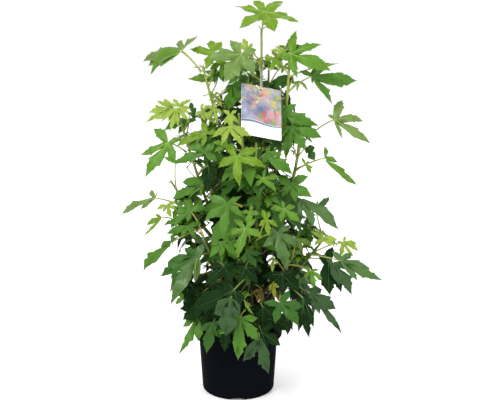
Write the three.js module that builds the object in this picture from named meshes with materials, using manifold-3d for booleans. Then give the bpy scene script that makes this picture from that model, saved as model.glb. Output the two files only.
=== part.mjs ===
// A young sweetgum, about 1.1 m high, in a black nursery pot with a picture card hung on its leading stem.
// Millimetres and degrees. The origin is the middle of the pot's underside, +Z is up, and the front is -Y.
// Headings are compass angles in plan: 0 is +X, 90 is +Y, away from the front.
import * as THREE from "three";
import { mergeVertices } from "three/addons/utils/BufferGeometryUtils.js";
import Module from "manifold-3d";

const wasm = await Module();
wasm.setup();

// ---------------------------------------------------------------- driving dimensions
const clearance = 0.3; // between two solids that touch on the real plant
const seed = 11; // another seed deals the leaves out another way

const pot = {
  height: 195,
  baseRadius: 92, // of the flat underside
  footRound: 8, // radius of the bottom edge
  wallTopRadius: 109, // where the wall meets the rim band
  bandHeight: 38,
  bandRound: 5,
  rimRadius: 124,
  wall: 2.4,
  floor: 3,
  notches: 4, // arched drain notches in the bottom edge, the first at the front
  notchWidth: 38,
  notchHeight: 9,
  notchFrom: 80, // distance of a notch's inner end from the axis
  sides: 32,
};
const compost = { top: 165, cornerInset: 24 };

const trunk = {
  foot: [22, 4],
  top: [66, 0],
  forkHeight: 420,
  flare: 6, // added to the radius at the foot
  footRadius: 11,
  topRadius: 8,
  sides: 8,
  steps: 9,
};

// Each shoot leaves its parent at a height, reaches out along a heading and rises to its own height.
// `outward` is the part of the reach already covered where the curve is pulled to, so 0.9 goes out first and
// then up. `bare` is the part of its length below the leaves, which is the bough, and `phase` turns its
// spiral of leaves.
const shootKeys = ["name", "parent", "foot", "heading", "reach", "height", "outward", "bare", "phase"];
const shoots = [
  ["leader", "trunk", 420, 180, 3, 1000, 0.5, 0.42, 200],
  ["left_high", "leader", 455, 187, 157, 906, 0.6, 0.38, 60],
  ["left_mid", "trunk", 232, 189, 203, 799, 0.55, 0.42, 150],
  ["left_low", "left_mid", 392, 189, 152, 604, 0.5, 0.3, 20],
  ["right_high", "leader", 500, -16, 74, 937, 0.9, 0.4, 310],
  ["right_mid", "trunk", 385, -16, 107, 770, 0.95, 0.38, 100],
  ["right_low", "trunk", 218, -17, 205, 452, 0.5, 0.4, 250],
  ["front_high", "leader", 480, 243, 135, 800, 0.7, 0.4, 0],
  ["front_mid", "trunk", 300, -92, 127, 725, 0.8, 0.38, 90],
  ["front_low", "trunk", 212, -91, 122, 455, 0.6, 0.36, 220],
  ["front_left", "trunk", 205, 218, 160, 470, 0.6, 0.38, 120],
  ["front_right", "trunk", 225, -46, 156, 420, 0.55, 0.38, 40],
  ["back_high", "leader", 540, 80, 110, 880, 0.8, 0.36, 170],
  ["back_left", "trunk", 330, 140, 185, 700, 0.65, 0.38, 280],
  ["back_right", "trunk", 350, 42, 165, 730, 0.7, 0.38, 330],
  ["back_low", "trunk", 242, 98, 175, 500, 0.6, 0.24, 30],
  ["back_low_left", "trunk", 222, 158, 190, 440, 0.55, 0.24, 200],
  ["back_low_right", "trunk", 256, 22, 190, 520, 0.6, 0.24, 300],
].map((row) => Object.fromEntries(shootKeys.map((key, i) => [key, row[i]])));
const stem = { footRadius: 6.4, tipRadius: 2.6, sides: 5, steps: 5 };

// The large outer leaves that give the crown its outline and its face, each with the place where its stalk
// meets the blade and the place of its middle tip. They face the front.
const outerLeaves = [
  { on: "leader", joint: [71, 0, 1046], tip: [79, 62, 1094], facing: [0, -0.75, 0.65] },
  { on: "leader", joint: [10, -70, 944], tip: [-34, -95, 876] },
  { on: "right_high", joint: [138, -50, 943], tip: [242, -60, 906] },
  { on: "right_high", joint: [194, -40, 886], tip: [314, -30, 873] },
  { on: "left_high", joint: [-147, -20, 949], tip: [-250, -25, 923] },
  { on: "left_mid", joint: [-182, -60, 710], tip: [-246, -75, 618] },
  { on: "left_mid", joint: [-156, -30, 793], tip: [-243, -40, 757] },
  { on: "left_low", joint: [-221, -50, 561], tip: [-321, -45, 510] },
  { on: "left_low", joint: [-202, -70, 513], tip: [-254, -80, 458] },
  { on: "front_left", joint: [-171, -60, 438], tip: [-258, -60, 355] },
  { on: "front_left", joint: [-102, -130, 425], tip: [-205, -140, 363] },
  { on: "front_left", joint: [-112, -120, 390], tip: [-181, -150, 292] },
  { on: "front_left", joint: [-100, -125, 249], tip: [-158, -140, 151] },
  { on: "right_mid", joint: [253, -30, 771], tip: [355, -35, 701] },
  { on: "right_mid", joint: [228, -40, 667], tip: [318, -45, 593] },
  { on: "right_mid", joint: [172, -100, 569], tip: [274, -110, 482] },
  { on: "right_low", joint: [269, -80, 393], tip: [392, -80, 336] },
  { on: "right_low", joint: [225, -90, 372], tip: [306, -100, 305] },
  { on: "right_low", joint: [285, -70, 448], tip: [330, -75, 418] },
  { on: "front_right", joint: [196, -110, 303], tip: [279, -130, 204] },
  { on: "front_right", joint: [108, -195, 314], tip: [165, -208, 248] },
  { on: "front_mid", joint: [-1, -190, 700], tip: [9, -205, 616] },
  { on: "front_mid", joint: [-23, -200, 586], tip: [-40, -215, 506] },
  { on: "front_mid", joint: [115, -190, 573], tip: [160, -200, 530] },
  { on: "front_low", joint: [4, -195, 276], tip: [0, -205, 160] },
  { on: "front_low", joint: [58, -165, 222], tip: [82, -180, 112] },
  { on: "front_low", joint: [-9, -210, 357], tip: [-38, -225, 251] },
];

// A leaf is a star of five lobes: the middle lobe, two beside it and two by the stalk, with a notch between
// each pair. Turn is measured from the middle lobe and reach is a part of its length.
const leafShape = {
  halfOutline: [
    { turn: 27, reach: 0.4 },
    { turn: 52, reach: 0.93 },
    { turn: 84, reach: 0.34 },
    { turn: 113, reach: 0.62 },
  ],
  middle: 0.1, // the thickest place, along the middle lobe
  thickness: 0.034, // at that place, as a part of the length
  sag: 0.2, // how far the tips bend below the blade's plane
};
const rule = {
  spacing: 44, // of leaves along a stem
  spiral: 144, // turn from each leaf to the next
  bladeLow: 112,
  bladeTip: 64,
  stalkLow: 82,
  stalkTip: 26,
  droopLow: 52,
  droopTip: 8,
  stalkRadius: 1.5,
  twigEvery: 3, // every third leaf has a side twig in its axil
  twigLength: 88,
  twigRadius: 2.2,
  twigLeaves: [0.5, 0.98],
  lowest: 118, // no leaf tip hangs lower
  nudges: [0, 24, -24, 48, -48, 72, -72, 96, -96, 120, -120, 150, -150, 180], // turns tried to fit a leaf in
  margin: 1.6, // how much thicker a leaf is taken to be when it is fitted clear of the other solids
  ownMargin: 1.2, // and of its own mass
};
// Half-width of the crown about its middle, by height: leaves dealt out by the rule stay within it.
const crown = {
  middle: [35, -5],
  profile: [[110, 190], [200, 215], [300, 250], [450, 275], [700, 262], [850, 232], [950, 175], [1070, 95]],
};

// The card hangs back from its top edge over the leaves, with its picture to the front.
const card = {
  width: 110,
  height: 147,
  thickness: 0.8,
  corner: 4,
  holeRadius: 4,
  holeDown: 9, // from the top edge to the hole's middle
  topMiddle: [62.5, -60, 859.3],
  across: [0.93, 0.286, -0.231],
  upward: [0, 0.623, 0.782],
};
// Leaves dealt out by the rule stay out of the space in front of the card, so that its picture shows.
const cardView = new THREE.Box3(new THREE.Vector3(-22, -400, 715), new THREE.Vector3(150, -40, 900));
const thread = { radius: 0.7, height: 916, sides: 5, steps: 40 };

// ---------------------------------------------------------------- helpers
const vec = (a) => new THREE.Vector3(...a);
const up = new THREE.Vector3(0, 0, 1);
const rad = THREE.MathUtils.degToRad;
const mix = THREE.MathUtils.lerp;

// A repeatable number from 0 to 1 for a shoot, one of its leaves and a purpose.
function chance(shootIndex, leafIndex, purpose) {
  const wave = Math.sin(seed + 12.9898 * shootIndex + 78.233 * leafIndex + 37.719 * purpose) * 43758.5453;
  return wave - Math.floor(wave);
}

const spread = (shootIndex, leafIndex, purpose) => 2 * chance(shootIndex, leafIndex, purpose) - 1;

// The unit vector of a heading and a rise above level.
function direction(heading, rise) {
  const flat = Math.cos(rad(rise));
  return new THREE.Vector3(flat * Math.cos(rad(heading)), flat * Math.sin(rad(heading)), Math.sin(rad(rise)));
}

// Straight-line value from a table of [where, value] pairs.
function fromTable(table, where) {
  const next = table.findIndex((row) => row[0] > where);
  if (next === 0) return table[0][1];
  if (next < 0) return table[table.length - 1][1];
  const [a, b] = [table[next - 1], table[next]];
  return mix(a[1], b[1], (where - a[0]) / (b[0] - a[0]));
}

function meshData(points, faces) {
  const geometry = new THREE.BufferGeometry();
  geometry.setAttribute("position", new THREE.Float32BufferAttribute(points.flatMap((p) => p.toArray()), 3));
  return geometry.setIndex(faces.flat());
}

function toSolid(geometry) {
  const bare = geometry.clone();
  bare.deleteAttribute("normal");
  bare.deleteAttribute("uv");
  const merged = mergeVertices(bare, 1e-4);
  return new wasm.Manifold(
    new wasm.Mesh({
      numProp: 3,
      vertProperties: new Float32Array(merged.attributes.position.array),
      triVerts: new Uint32Array(merged.index.array),
    }),
  );
}

function toGeometry(solid) {
  const mesh = solid.getMesh();
  const geometry = new THREE.BufferGeometry();
  geometry.setAttribute("position", new THREE.BufferAttribute(new Float32Array(mesh.vertProperties), 3));
  return geometry.setIndex(new THREE.BufferAttribute(new Uint32Array(mesh.triVerts), 1));
}

// The largest body of a solid, with loose scraps dropped and sealed hollows filled.
function largestBody(solid) {
  return solid.decompose().reduce((best, body) => (body.volume() > best.volume() ? body : best));
}

// A closed tube along part of a path: rings square to it, with a flat polygon over each end.
function taperedTube(path, from, to, radiusAt, sides, steps) {
  const chord = path.getPoint(to).sub(path.getPoint(from));
  const reference = Math.abs(chord.y) > Math.abs(chord.z) ? up : new THREE.Vector3(0, 1, 0);
  const points = [];
  const faces = [];
  for (let i = 0; i <= steps; i++) {
    const t = mix(from, to, i / steps);
    const centre = path.getPoint(t);
    const along = path.getTangent(Math.min(t, 1));
    const side = new THREE.Vector3().crossVectors(along, reference).normalize();
    const over = new THREE.Vector3().crossVectors(along, side);
    for (let j = 0; j < sides; j++) {
      const angle = (2 * Math.PI * j) / sides;
      const spoke = side.clone().multiplyScalar(Math.cos(angle)).addScaledVector(over, Math.sin(angle));
      points.push(centre.clone().addScaledVector(spoke, radiusAt(t)));
    }
  }
  for (let i = 0; i < steps; i++) {
    for (let j = 0; j < sides; j++) {
      const [a, b] = [i * sides + j, i * sides + ((j + 1) % sides)];
      faces.push([a, b, b + sides], [a, b + sides, a + sides]);
    }
  }
  const last = steps * sides;
  for (let j = 1; j < sides - 1; j++) faces.push([0, j + 1, j], [last, last + j, last + j + 1]);
  return meshData(points, faces);
}

// ---------------------------------------------------------------- materials
const plastic = new THREE.MeshStandardMaterial({ color: 0x15161b, roughness: 0.45 });
const soilMix = new THREE.MeshStandardMaterial({ color: 0x33241a, roughness: 0.95 });
const bark = new THREE.MeshStandardMaterial({ color: 0x5a4a32, roughness: 0.85 });
const greenStem = new THREE.MeshStandardMaterial({ color: 0x7d8a3a, roughness: 0.7 });
const leafGreen = new THREE.MeshStandardMaterial({ color: 0x4d8a30, roughness: 0.6, side: THREE.DoubleSide });
const cardPaper = new THREE.MeshStandardMaterial({ color: 0xe9ebee, roughness: 0.4 });
const threadFibre = new THREE.MeshStandardMaterial({ color: 0xd8d8d2, roughness: 0.8 });

// ---------------------------------------------------------------- pot and compost
// The outside of the pot from the axis to the lip, and the inside back to the axis.
function potProfile() {
  const { height, baseRadius, footRound, wallTopRadius, bandHeight, bandRound, rimRadius, wall, floor } = pot;
  const bandFoot = height - bandHeight;
  const outline = [[0, 0], [baseRadius, 0]];
  for (const turn of [30, 60, 90]) {
    const [across, rise] = [Math.sin(rad(turn)), 1 - Math.cos(rad(turn))];
    outline.push([baseRadius + footRound * across, footRound * rise]);
  }
  outline.push([wallTopRadius, bandFoot], [rimRadius - bandRound, bandFoot + 1.5]);
  outline.push([rimRadius - 1, bandFoot + bandRound + 2]);
  outline.push([rimRadius, height - 2], [rimRadius - 1.2, height], [rimRadius - wall, height]);
  outline.push([rimRadius - wall - 2, bandFoot + bandRound + 2], [wallTopRadius - wall, bandFoot + 3]);
  outline.push([baseRadius + footRound - wall, footRound + 2], [baseRadius - wall, floor], [0, floor]);
  return outline.map(([r, z]) => new THREE.Vector2(r, z));
}

// A lathe turns about +Y in three.js, so it is stood up along +Z.
function turned(profile) {
  return new THREE.LatheGeometry(profile, pot.sides).rotateX(Math.PI / 2);
}

function potSolid() {
  const arch = new THREE.Shape();
  arch.moveTo(-pot.notchWidth / 2, -2);
  arch.lineTo(pot.notchWidth / 2, -2);
  arch.lineTo(pot.notchWidth / 2, 0);
  arch.absellipse(0, 0, pot.notchWidth / 2, pot.notchHeight, 0, Math.PI, false, 0);
  arch.lineTo(-pot.notchWidth / 2, -2);
  const depth = pot.baseRadius + pot.footRound + 10 - pot.notchFrom;
  let solid = toSolid(turned(potProfile()));
  for (let i = 0; i < pot.notches; i++) {
    const cutter = new THREE.ExtrudeGeometry(arch, { depth, bevelEnabled: false, curveSegments: 6 });
    cutter.rotateX(Math.PI / 2).translate(0, -pot.notchFrom, 0); // the arch stands up and runs out along -Y
    cutter.rotateZ((2 * Math.PI * i) / pot.notches);
    solid = solid.subtract(toSolid(cutter));
  }
  return solid;
}

function compostSolid() {
  const { height, baseRadius, footRound, wallTopRadius, bandHeight, bandRound, rimRadius, wall, floor } = pot;
  const inset = wall + 2 * clearance;
  const bandFoot = height - bandHeight;
  const profile = [
    [0, floor + clearance],
    [baseRadius - compost.cornerInset, floor + clearance],
    [baseRadius + footRound - inset - 4, footRound + 14],
    [wallTopRadius - inset, bandFoot + 4],
    [rimRadius - inset - 3, bandFoot + bandRound + 2.5],
    [rimRadius - inset - 3, compost.top - 1.5],
    [rimRadius - 30, compost.top],
    [0, compost.top],
  ];
  return toSolid(turned(profile.map(([r, z]) => new THREE.Vector2(r, z))));
}

// ---------------------------------------------------------------- trunk and boughs
const trunkPath = new THREE.QuadraticBezierCurve3(
  vec([...trunk.foot, compost.top - 6]),
  vec([mix(trunk.foot[0], trunk.top[0], 0.75), trunk.foot[1] - 6, mix(compost.top, trunk.forkHeight, 0.4)]),
  vec([...trunk.top, trunk.forkHeight]),
);

// The trunk runs on below its foot here, and is cut off flat just above the compost.
function trunkRadius(t) {
  return mix(trunk.footRadius, trunk.topRadius, t) + trunk.flare * Math.exp(-12 * Math.max(t, 0));
}

// The place on a rising path that is at a height.
function pointAtHeight(path, height) {
  let [low, high] = [0, 1];
  for (let i = 0; i < 30; i++) {
    const middle = (low + high) / 2;
    if (path.getPoint(middle).z < height) low = middle;
    else high = middle;
  }
  return path.getPoint(low);
}

function shootPath(shoot, parentPath) {
  const foot = pointAtHeight(parentPath, shoot.foot);
  const reach = direction(shoot.heading, 0).multiplyScalar(shoot.reach);
  const tip = foot.clone().add(reach).setZ(shoot.height);
  const pull = foot.clone().addScaledVector(reach, shoot.outward).setZ(mix(foot.z, shoot.height, 0.4));
  return new THREE.QuadraticBezierCurve3(foot, pull, tip);
}

const paths = new Map([["trunk", trunkPath]]);
for (const shoot of shoots) paths.set(shoot.name, shootPath(shoot, paths.get(shoot.parent)));

const stemRadius = (t) => mix(stem.footRadius, stem.tipRadius, t);

// A limb's tube, `swell` thicker all round, for cutting its neighbours clear of it.
function limbSolid(name, to, swell) {
  if (name === "trunk") {
    const end = 1 + swell / trunkPath.getLength();
    const radiusAt = (t) => trunkRadius(t) + swell;
    const whole = toSolid(taperedTube(trunkPath, 0, end, radiusAt, trunk.sides, trunk.steps));
    const [side, depth] = [200, 100]; // of the box that cuts the foot flat
    const below = new THREE.BoxGeometry(side, side, depth);
    below.translate(0, 0, compost.top + clearance - depth / 2);
    return whole.subtract(toSolid(below));
  }
  const radiusAt = (t) => stemRadius(t) + swell;
  return toSolid(taperedTube(paths.get(name), 0, to, radiusAt, stem.sides, stem.steps));
}

// ---------------------------------------------------------------- leaves
// The stalk rises from the stem's middle, bends over and runs into the blade along its middle lobe. It
// returns three rings of three points, the last one square to that lobe: its right, left and under side.
function stalkRings(leaf, across, face, along, radius) {
  const distance = leaf.foot.distanceTo(leaf.joint);
  const bend = leaf.foot.clone().lerp(leaf.joint, 0.5).addScaledVector(up, 0.22 * distance);
  bend.lerp(leaf.joint.clone().addScaledVector(along, -0.5 * distance), 0.4);
  const path = new THREE.QuadraticBezierCurve3(leaf.foot, bend, leaf.joint);
  const rings = [];
  let side = across.clone().negate();
  let under = face.clone().negate();
  for (const t of [1, 0.5, 0]) {
    if (t < 1) {
      const run = path.getTangent(t);
      side = side.clone().addScaledVector(run, -side.dot(run)).normalize();
      under = new THREE.Vector3().crossVectors(side, run).negate();
    }
    const size = radius * mix(1, 0.8, t);
    const centre = path.getPoint(t);
    rings.unshift([
      centre.clone().addScaledVector(side, size),
      centre.clone().addScaledVector(side, -size),
      centre.clone().addScaledVector(under, size),
    ]);
  }
  return rings;
}

// A leaf with its stalk as one closed skin: `along` is its middle lobe, `face` where its upper side looks.
function leafGeometry(leaf, thicken = 1) {
  const along = leaf.along.clone().normalize();
  const face = leaf.face.clone().addScaledVector(along, -leaf.face.dot(along)).normalize();
  const across = new THREE.Vector3().crossVectors(face, along);
  const place = (turn, reach, lift) =>
    leaf.joint
      .clone()
      .addScaledVector(along, leaf.length * reach * Math.cos(rad(turn)))
      .addScaledVector(across, leaf.length * reach * Math.sin(rad(turn)))
      .addScaledVector(face, leaf.length * (lift - leafShape.sag * reach * reach));
  const rings = stalkRings(leaf, across, face, along, rule.stalkRadius * thicken);
  const right = leafShape.halfOutline.map(({ turn, reach }) => place(-turn, reach, 0)).reverse();
  const left = leafShape.halfOutline.map(({ turn, reach }) => place(turn, reach, 0));
  const half = (leafShape.thickness / 2) * thicken;
  const points = [...rings.flat(), ...right, place(0, 1, 0), ...left];
  const [top, bottom] = [points.length, points.length + 1];
  points.push(place(0, leafShape.middle, half), place(0, leafShape.middle, -half));
  const faces = [[0, 1, 2]];
  for (const ring of [0, 3]) {
    for (let j = 0; j < 3; j++) {
      const [a, b] = [ring + j, ring + ((j + 1) % 3)];
      faces.push([a, b + 3, b], [a, a + 3, b + 3]);
    }
  }
  const [stalkRight, stalkLeft, stalkUnder, first, last] = [6, 7, 8, 9, top - 1];
  const rim = [stalkRight, ...Array.from({ length: last - first + 1 }, (_, i) => first + i), stalkLeft];
  for (let i = 0; i < rim.length - 1; i++) {
    faces.push([top, rim[i], rim[i + 1]], [bottom, rim[i + 1], rim[i]]);
  }
  faces.push([top, stalkLeft, stalkRight], [bottom, stalkRight, stalkUnder], [bottom, stalkUnder, stalkLeft]);
  return meshData(points, faces);
}

// The point of a shoot's leafy part from which a stalk reaches a joint best: a little below it.
function nearestFoot(shoot, joint) {
  const path = paths.get(shoot.name);
  const aim = joint.clone().addScaledVector(up, -30);
  let best = null;
  for (let i = 0; i <= 40; i++) {
    const point = path.getPoint(mix(shoot.bare + 0.03, 0.985, i / 40));
    if (!best || point.distanceTo(aim) < best.distanceTo(aim)) best = point;
  }
  return best;
}

function outerLeaf(row, index) {
  const shoot = shoots.find((s) => s.name === row.on);
  const joint = vec(row.joint);
  const along = vec(row.tip).sub(joint);
  const face = row.facing ? vec(row.facing) : new THREE.Vector3(0.35 * spread(90, index, 1), -0.85, 0.5);
  return { foot: nearestFoot(shoot, joint), joint, along, face, length: along.length() * 1.02 };
}

// A leaf dealt out by the rule from the foot of its stalk. Age is 0 on the lowest leaf and 1 at the tip.
function ruleLeaf(foot, heading, age, size, pick) {
  const stalk = mix(rule.stalkLow, rule.stalkTip, age) * size * (1 + 0.22 * pick(1));
  const rise = mix(12, 40, age) + 14 * pick(2);
  const joint = foot.clone().addScaledVector(direction(heading, rise), stalk);
  const droop = mix(rule.droopLow, rule.droopTip, age) + 18 * pick(3);
  const along = direction(heading + 28 * pick(4), -droop);
  const outward = new THREE.Vector3(joint.x - crown.middle[0], joint.y - crown.middle[1], 0).normalize();
  const lean = 38 + 26 * pick(5);
  const face = outward.multiplyScalar(Math.sin(rad(lean))).addScaledVector(up, Math.cos(rad(lean)));
  const length = mix(rule.bladeLow, rule.bladeTip, age * age) * size * (1 + 0.14 * pick(6));
  return { foot, joint, along, face, length };
}

// A twig bends up from the axil of a leaf.
function twigPath(foot, heading, rise, length) {
  const reach = direction(heading, rise).multiplyScalar(length);
  const pull = foot.clone().addScaledVector(reach, 0.55);
  const tip = foot.clone().add(reach).addScaledVector(up, 0.2 * length);
  return new THREE.QuadraticBezierCurve3(foot, pull, tip);
}

// The side twigs of a shoot and the leaves of its leafy part, each leaf as a maker that takes an extra turn.
function foliagePlan(shoot, shootIndex) {
  const path = paths.get(shoot.name);
  const leafTop = shoot.name === "leader" ? 0.8 : 1;
  const span = path.getLength() * (leafTop - shoot.bare);
  const count = Math.round(span / rule.spacing);
  const plan = { twigs: [], makers: [] };
  const addLeaf = (foot, heading, age, size, number) => {
    const pick = (purpose) => spread(shootIndex, number, purpose);
    plan.makers.push((turn) => ruleLeaf(foot, heading + turn, age, size, pick));
  };
  for (let i = 0; i < count; i++) {
    const age = i / (count - 1);
    const foot = path.getPoint(mix(shoot.bare, leafTop, (i + 0.7) / count));
    const heading = shoot.phase + rule.spiral * i;
    addLeaf(foot, heading, age, 1, i);
    if (i % rule.twigEvery !== 1) continue;
    const rise = 30 + 12 * spread(shootIndex, i, 7);
    const twig = twigPath(foot, heading + 60, rise, rule.twigLength * mix(1, 0.6, age));
    plan.twigs.push(twig);
    rule.twigLeaves.forEach((at, k) => {
      const turned = heading + 60 + (k % 2 ? -12 : 75);
      addLeaf(twig.getPoint(at), turned, mix(age, 1, 0.25), 0.82, 100 + 10 * i + k);
    });
  }
  return plan;
}

// ---------------------------------------------------------------- card and its thread
const cardFrame = (() => {
  const across = vec(card.across).normalize();
  const face = new THREE.Vector3().crossVectors(across, vec(card.upward)).normalize();
  const upward = new THREE.Vector3().crossVectors(face, across);
  return new THREE.Matrix4().makeBasis(across, upward, face).setPosition(vec(card.topMiddle));
})();

// A place on the card: across it, up from its top edge and out of its front.
const onCard = (x, y, z) => new THREE.Vector3(x, y, z).applyMatrix4(cardFrame);

function cardGeometry() {
  const { width, height, corner, holeRadius, holeDown, thickness } = card;
  const [left, right, bottom] = [-width / 2, width / 2, -height];
  const outline = new THREE.Shape();
  outline.moveTo(left + corner, bottom);
  outline.lineTo(right - corner, bottom);
  outline.absarc(right - corner, bottom + corner, corner, -Math.PI / 2, 0);
  outline.absarc(right - corner, -corner, corner, 0, Math.PI / 2);
  outline.absarc(left + corner, -corner, corner, Math.PI / 2, Math.PI);
  outline.absarc(left + corner, bottom + corner, corner, Math.PI, 1.5 * Math.PI);
  const hole = new THREE.Path();
  hole.absarc(0, -holeDown, holeRadius, 0, 2 * Math.PI, true);
  outline.holes.push(hole);
  const options = { depth: thickness, bevelEnabled: false, curveSegments: 4 };
  return new THREE.ExtrudeGeometry(outline, options).translate(0, 0, -thickness / 2);
}

// One closed loop: round the back of the stem, down both sides and through the hole in the card.
function threadGeometry() {
  const hung = pointAtHeight(paths.get("leader"), thread.height);
  const ring = stem.tipRadius + 1.2 + thread.radius;
  const seat = card.holeRadius - thread.radius - 0.7 - card.holeDown;
  const stand = 2.6;
  const loop = new THREE.CatmullRomCurve3(
    [
      hung.clone().add(new THREE.Vector3(0, ring, 3)),
      hung.clone().add(new THREE.Vector3(-ring, 1, 1)),
      onCard(-3, 32, stand + 3),
      onCard(-1, -3, stand),
      onCard(0, seat + 0.6, 1.5),
      onCard(0, seat, 0),
      onCard(0, seat + 0.6, -1.5),
      onCard(1, -3, -stand),
      onCard(4, 30, -stand - 1),
      hung.clone().add(new THREE.Vector3(ring, 1, 1)),
    ],
    true,
    "centripetal",
  );
  loop.getUtoTmapping = (u) => u; // rings even by control point, so that the tight turn has enough of them
  const points = [];
  const faces = [];
  const { radius, sides, steps } = thread;
  const frames = loop.computeFrenetFrames(steps, true);
  for (let i = 0; i < steps; i++) {
    for (let j = 0; j < sides; j++) {
      const angle = (2 * Math.PI * j) / sides;
      const spoke = frames.normals[i].clone().multiplyScalar(Math.cos(angle));
      spoke.addScaledVector(frames.binormals[i], Math.sin(angle));
      points.push(loop.getPointAt(i / steps).addScaledVector(spoke, radius));
      const next = (i + 1) % steps;
      const [a, b] = [i * sides + j, i * sides + ((j + 1) % sides)];
      const [c, d] = [next * sides + ((j + 1) % sides), next * sides + j];
      faces.push([a, b, c], [a, c, d]);
    }
  }
  return meshData(points, faces);
}

// ---------------------------------------------------------------- fitting the leaves clear of the rest
const fitted = []; // every solid so far

function place(owner, solid, isLeaf = false) {
  fitted.push({ owner, solid, isLeaf, box: solid.boundingBox() });
}

const apart = (a, b) => [0, 1, 2].some((k) => a.max[k] < b.min[k] || b.max[k] < a.min[k]);

function meets(solid, box, item) {
  if (apart(box, item.box)) return false;
  const common = solid.intersect(item.solid);
  const some = !common.isEmpty();
  common.delete();
  return some;
}

// 0 where a leaf is clear of everything, 1 where it only crosses its own mass, 2 where it meets another one.
function crossing(leaf, owner) {
  const solid = toSolid(leafGeometry(leaf, rule.margin));
  const box = solid.boundingBox();
  const others = fitted.some((item) => item.owner !== owner && meets(solid, box, item));
  if (others) return 2;
  const stub = leaf.joint.clone().addScaledVector(leaf.along.clone().normalize(), -2);
  const blade = toSolid(leafGeometry({ ...leaf, foot: stub }, rule.ownMargin));
  const own = fitted.filter((item) => item.owner === owner);
  return own.some((item) => meets(item.isLeaf ? solid : blade, box, item)) ? 1 : 0;
}

function insideCrown(leaf) {
  const tip = leaf.joint.clone().addScaledVector(leaf.along.clone().normalize(), leaf.length);
  const half = leaf.joint.clone().lerp(tip, 0.5);
  if ([leaf.joint, half, tip].some((p) => cardView.containsPoint(p))) return false;
  const reach = Math.hypot(tip.x - crown.middle[0], tip.y - crown.middle[1]);
  return tip.z > rule.lowest && reach < fromTable(crown.profile, tip.z);
}

// Tries a leaf at each nudge of its heading and keeps the first clear one, or else the first that crosses
// only its own mass.
function fitLeaf(maker, owner, checkCrown) {
  let spare = null;
  for (const nudge of rule.nudges) {
    const leaf = maker(nudge);
    if (checkCrown && !insideCrown(leaf)) continue;
    const state = crossing(leaf, owner);
    if (state === 0) return leaf;
    if (state === 1 && !spare) spare = leaf;
  }
  return spare;
}

// An outer leaf keeps its joint: a nudge only swings and lifts the blade a little.
function swungLeaf(leaf, nudge) {
  const axis = nudge % 48 ? leaf.face : new THREE.Vector3().crossVectors(leaf.face, leaf.along).normalize();
  const along = leaf.along.clone().applyAxisAngle(axis.clone().normalize(), rad(nudge / 3));
  return { ...leaf, along };
}

// ---------------------------------------------------------------- assembly
const plant = new THREE.Group();

function addMesh(name, geometry, material) {
  const mesh = new THREE.Mesh(geometry, material);
  mesh.name = name;
  plant.add(mesh);
  return mesh;
}

function addSolid(name, solid, material) {
  place(name, solid);
  return addMesh(name, toGeometry(solid), material);
}

addSolid("pot", potSolid(), plastic);
addSolid("compost", compostSolid(), soilMix);
addSolid("trunk", limbSolid("trunk", 1, 0), bark);

const cardMesh = addMesh("picture_card", cardGeometry(), cardPaper);
cardMesh.applyMatrix4(cardFrame);
place("picture_card", toSolid(cardMesh.geometry.clone().applyMatrix4(cardFrame)));
addSolid("card_thread", toSolid(threadGeometry()), threadFibre);

// Each bough is cut clear of the limbs that were made before it.
const limbs = [limbSolid("trunk", 1, clearance)];
const gapAlong = (name) => clearance / 2 / paths.get(name).getLength();
for (const shoot of shoots) {
  const to = shoot.bare - gapAlong(shoot.name);
  let bough = limbSolid(shoot.name, to, 0);
  for (const limb of limbs) bough = bough.subtract(limb);
  addSolid(`bough_${shoot.name}`, largestBody(bough), bark);
  limbs.push(limbSolid(shoot.name, to, clearance));
}

// The leafy stems and side twigs of all masses come before any leaf, so that every leaf keeps off them.
const masses = shoots.map((shoot, index) => {
  const path = paths.get(shoot.name);
  const from = shoot.bare + gapAlong(shoot.name);
  const owner = `foliage_${shoot.name}`;
  const plan = foliagePlan(shoot, index);
  const pieces = [toSolid(taperedTube(path, from, 1, stemRadius, stem.sides, stem.steps))];
  place(owner, pieces[0]);
  return { shoot, owner, plan, pieces };
});
for (const { owner, plan, pieces } of masses) {
  for (const twig of plan.twigs) {
    const radiusAt = (t) => rule.twigRadius * mix(1, 0.7, t);
    const solid = toSolid(taperedTube(twig, 0, 1, radiusAt, 3, 3));
    const box = solid.boundingBox();
    if (fitted.some((item) => item.owner !== owner && meets(solid, box, item))) continue;
    pieces.push(solid);
    place(owner, solid);
  }
}

function keepLeaf(mass, leaf) {
  const solid = toSolid(leafGeometry(leaf));
  mass.pieces.push(solid);
  place(mass.owner, solid, true);
}

outerLeaves.forEach((row, index) => {
  const mass = masses.find((m) => m.shoot.name === row.on);
  const wanted = outerLeaf(row, index);
  const leaf = fitLeaf((nudge) => swungLeaf(wanted, nudge), mass.owner, false);
  if (leaf) keepLeaf(mass, leaf);
});

// Every mass takes one leaf in turn, so that none fills the space of its neighbours.
const mostLeaves = Math.max(...masses.map((mass) => mass.plan.makers.length));
for (let i = 0; i < mostLeaves; i++) {
  for (const mass of masses) {
    if (!mass.plan.makers[i]) continue;
    const leaf = fitLeaf(mass.plan.makers[i], mass.owner, true);
    if (leaf) keepLeaf(mass, leaf);
  }
}

for (const mass of masses) {
  const joined = mass.pieces.reduce((whole, piece) => whole.add(piece));
  addMesh(mass.owner, toGeometry(largestBody(joined)), leafGreen);
}

export default plant;
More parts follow.
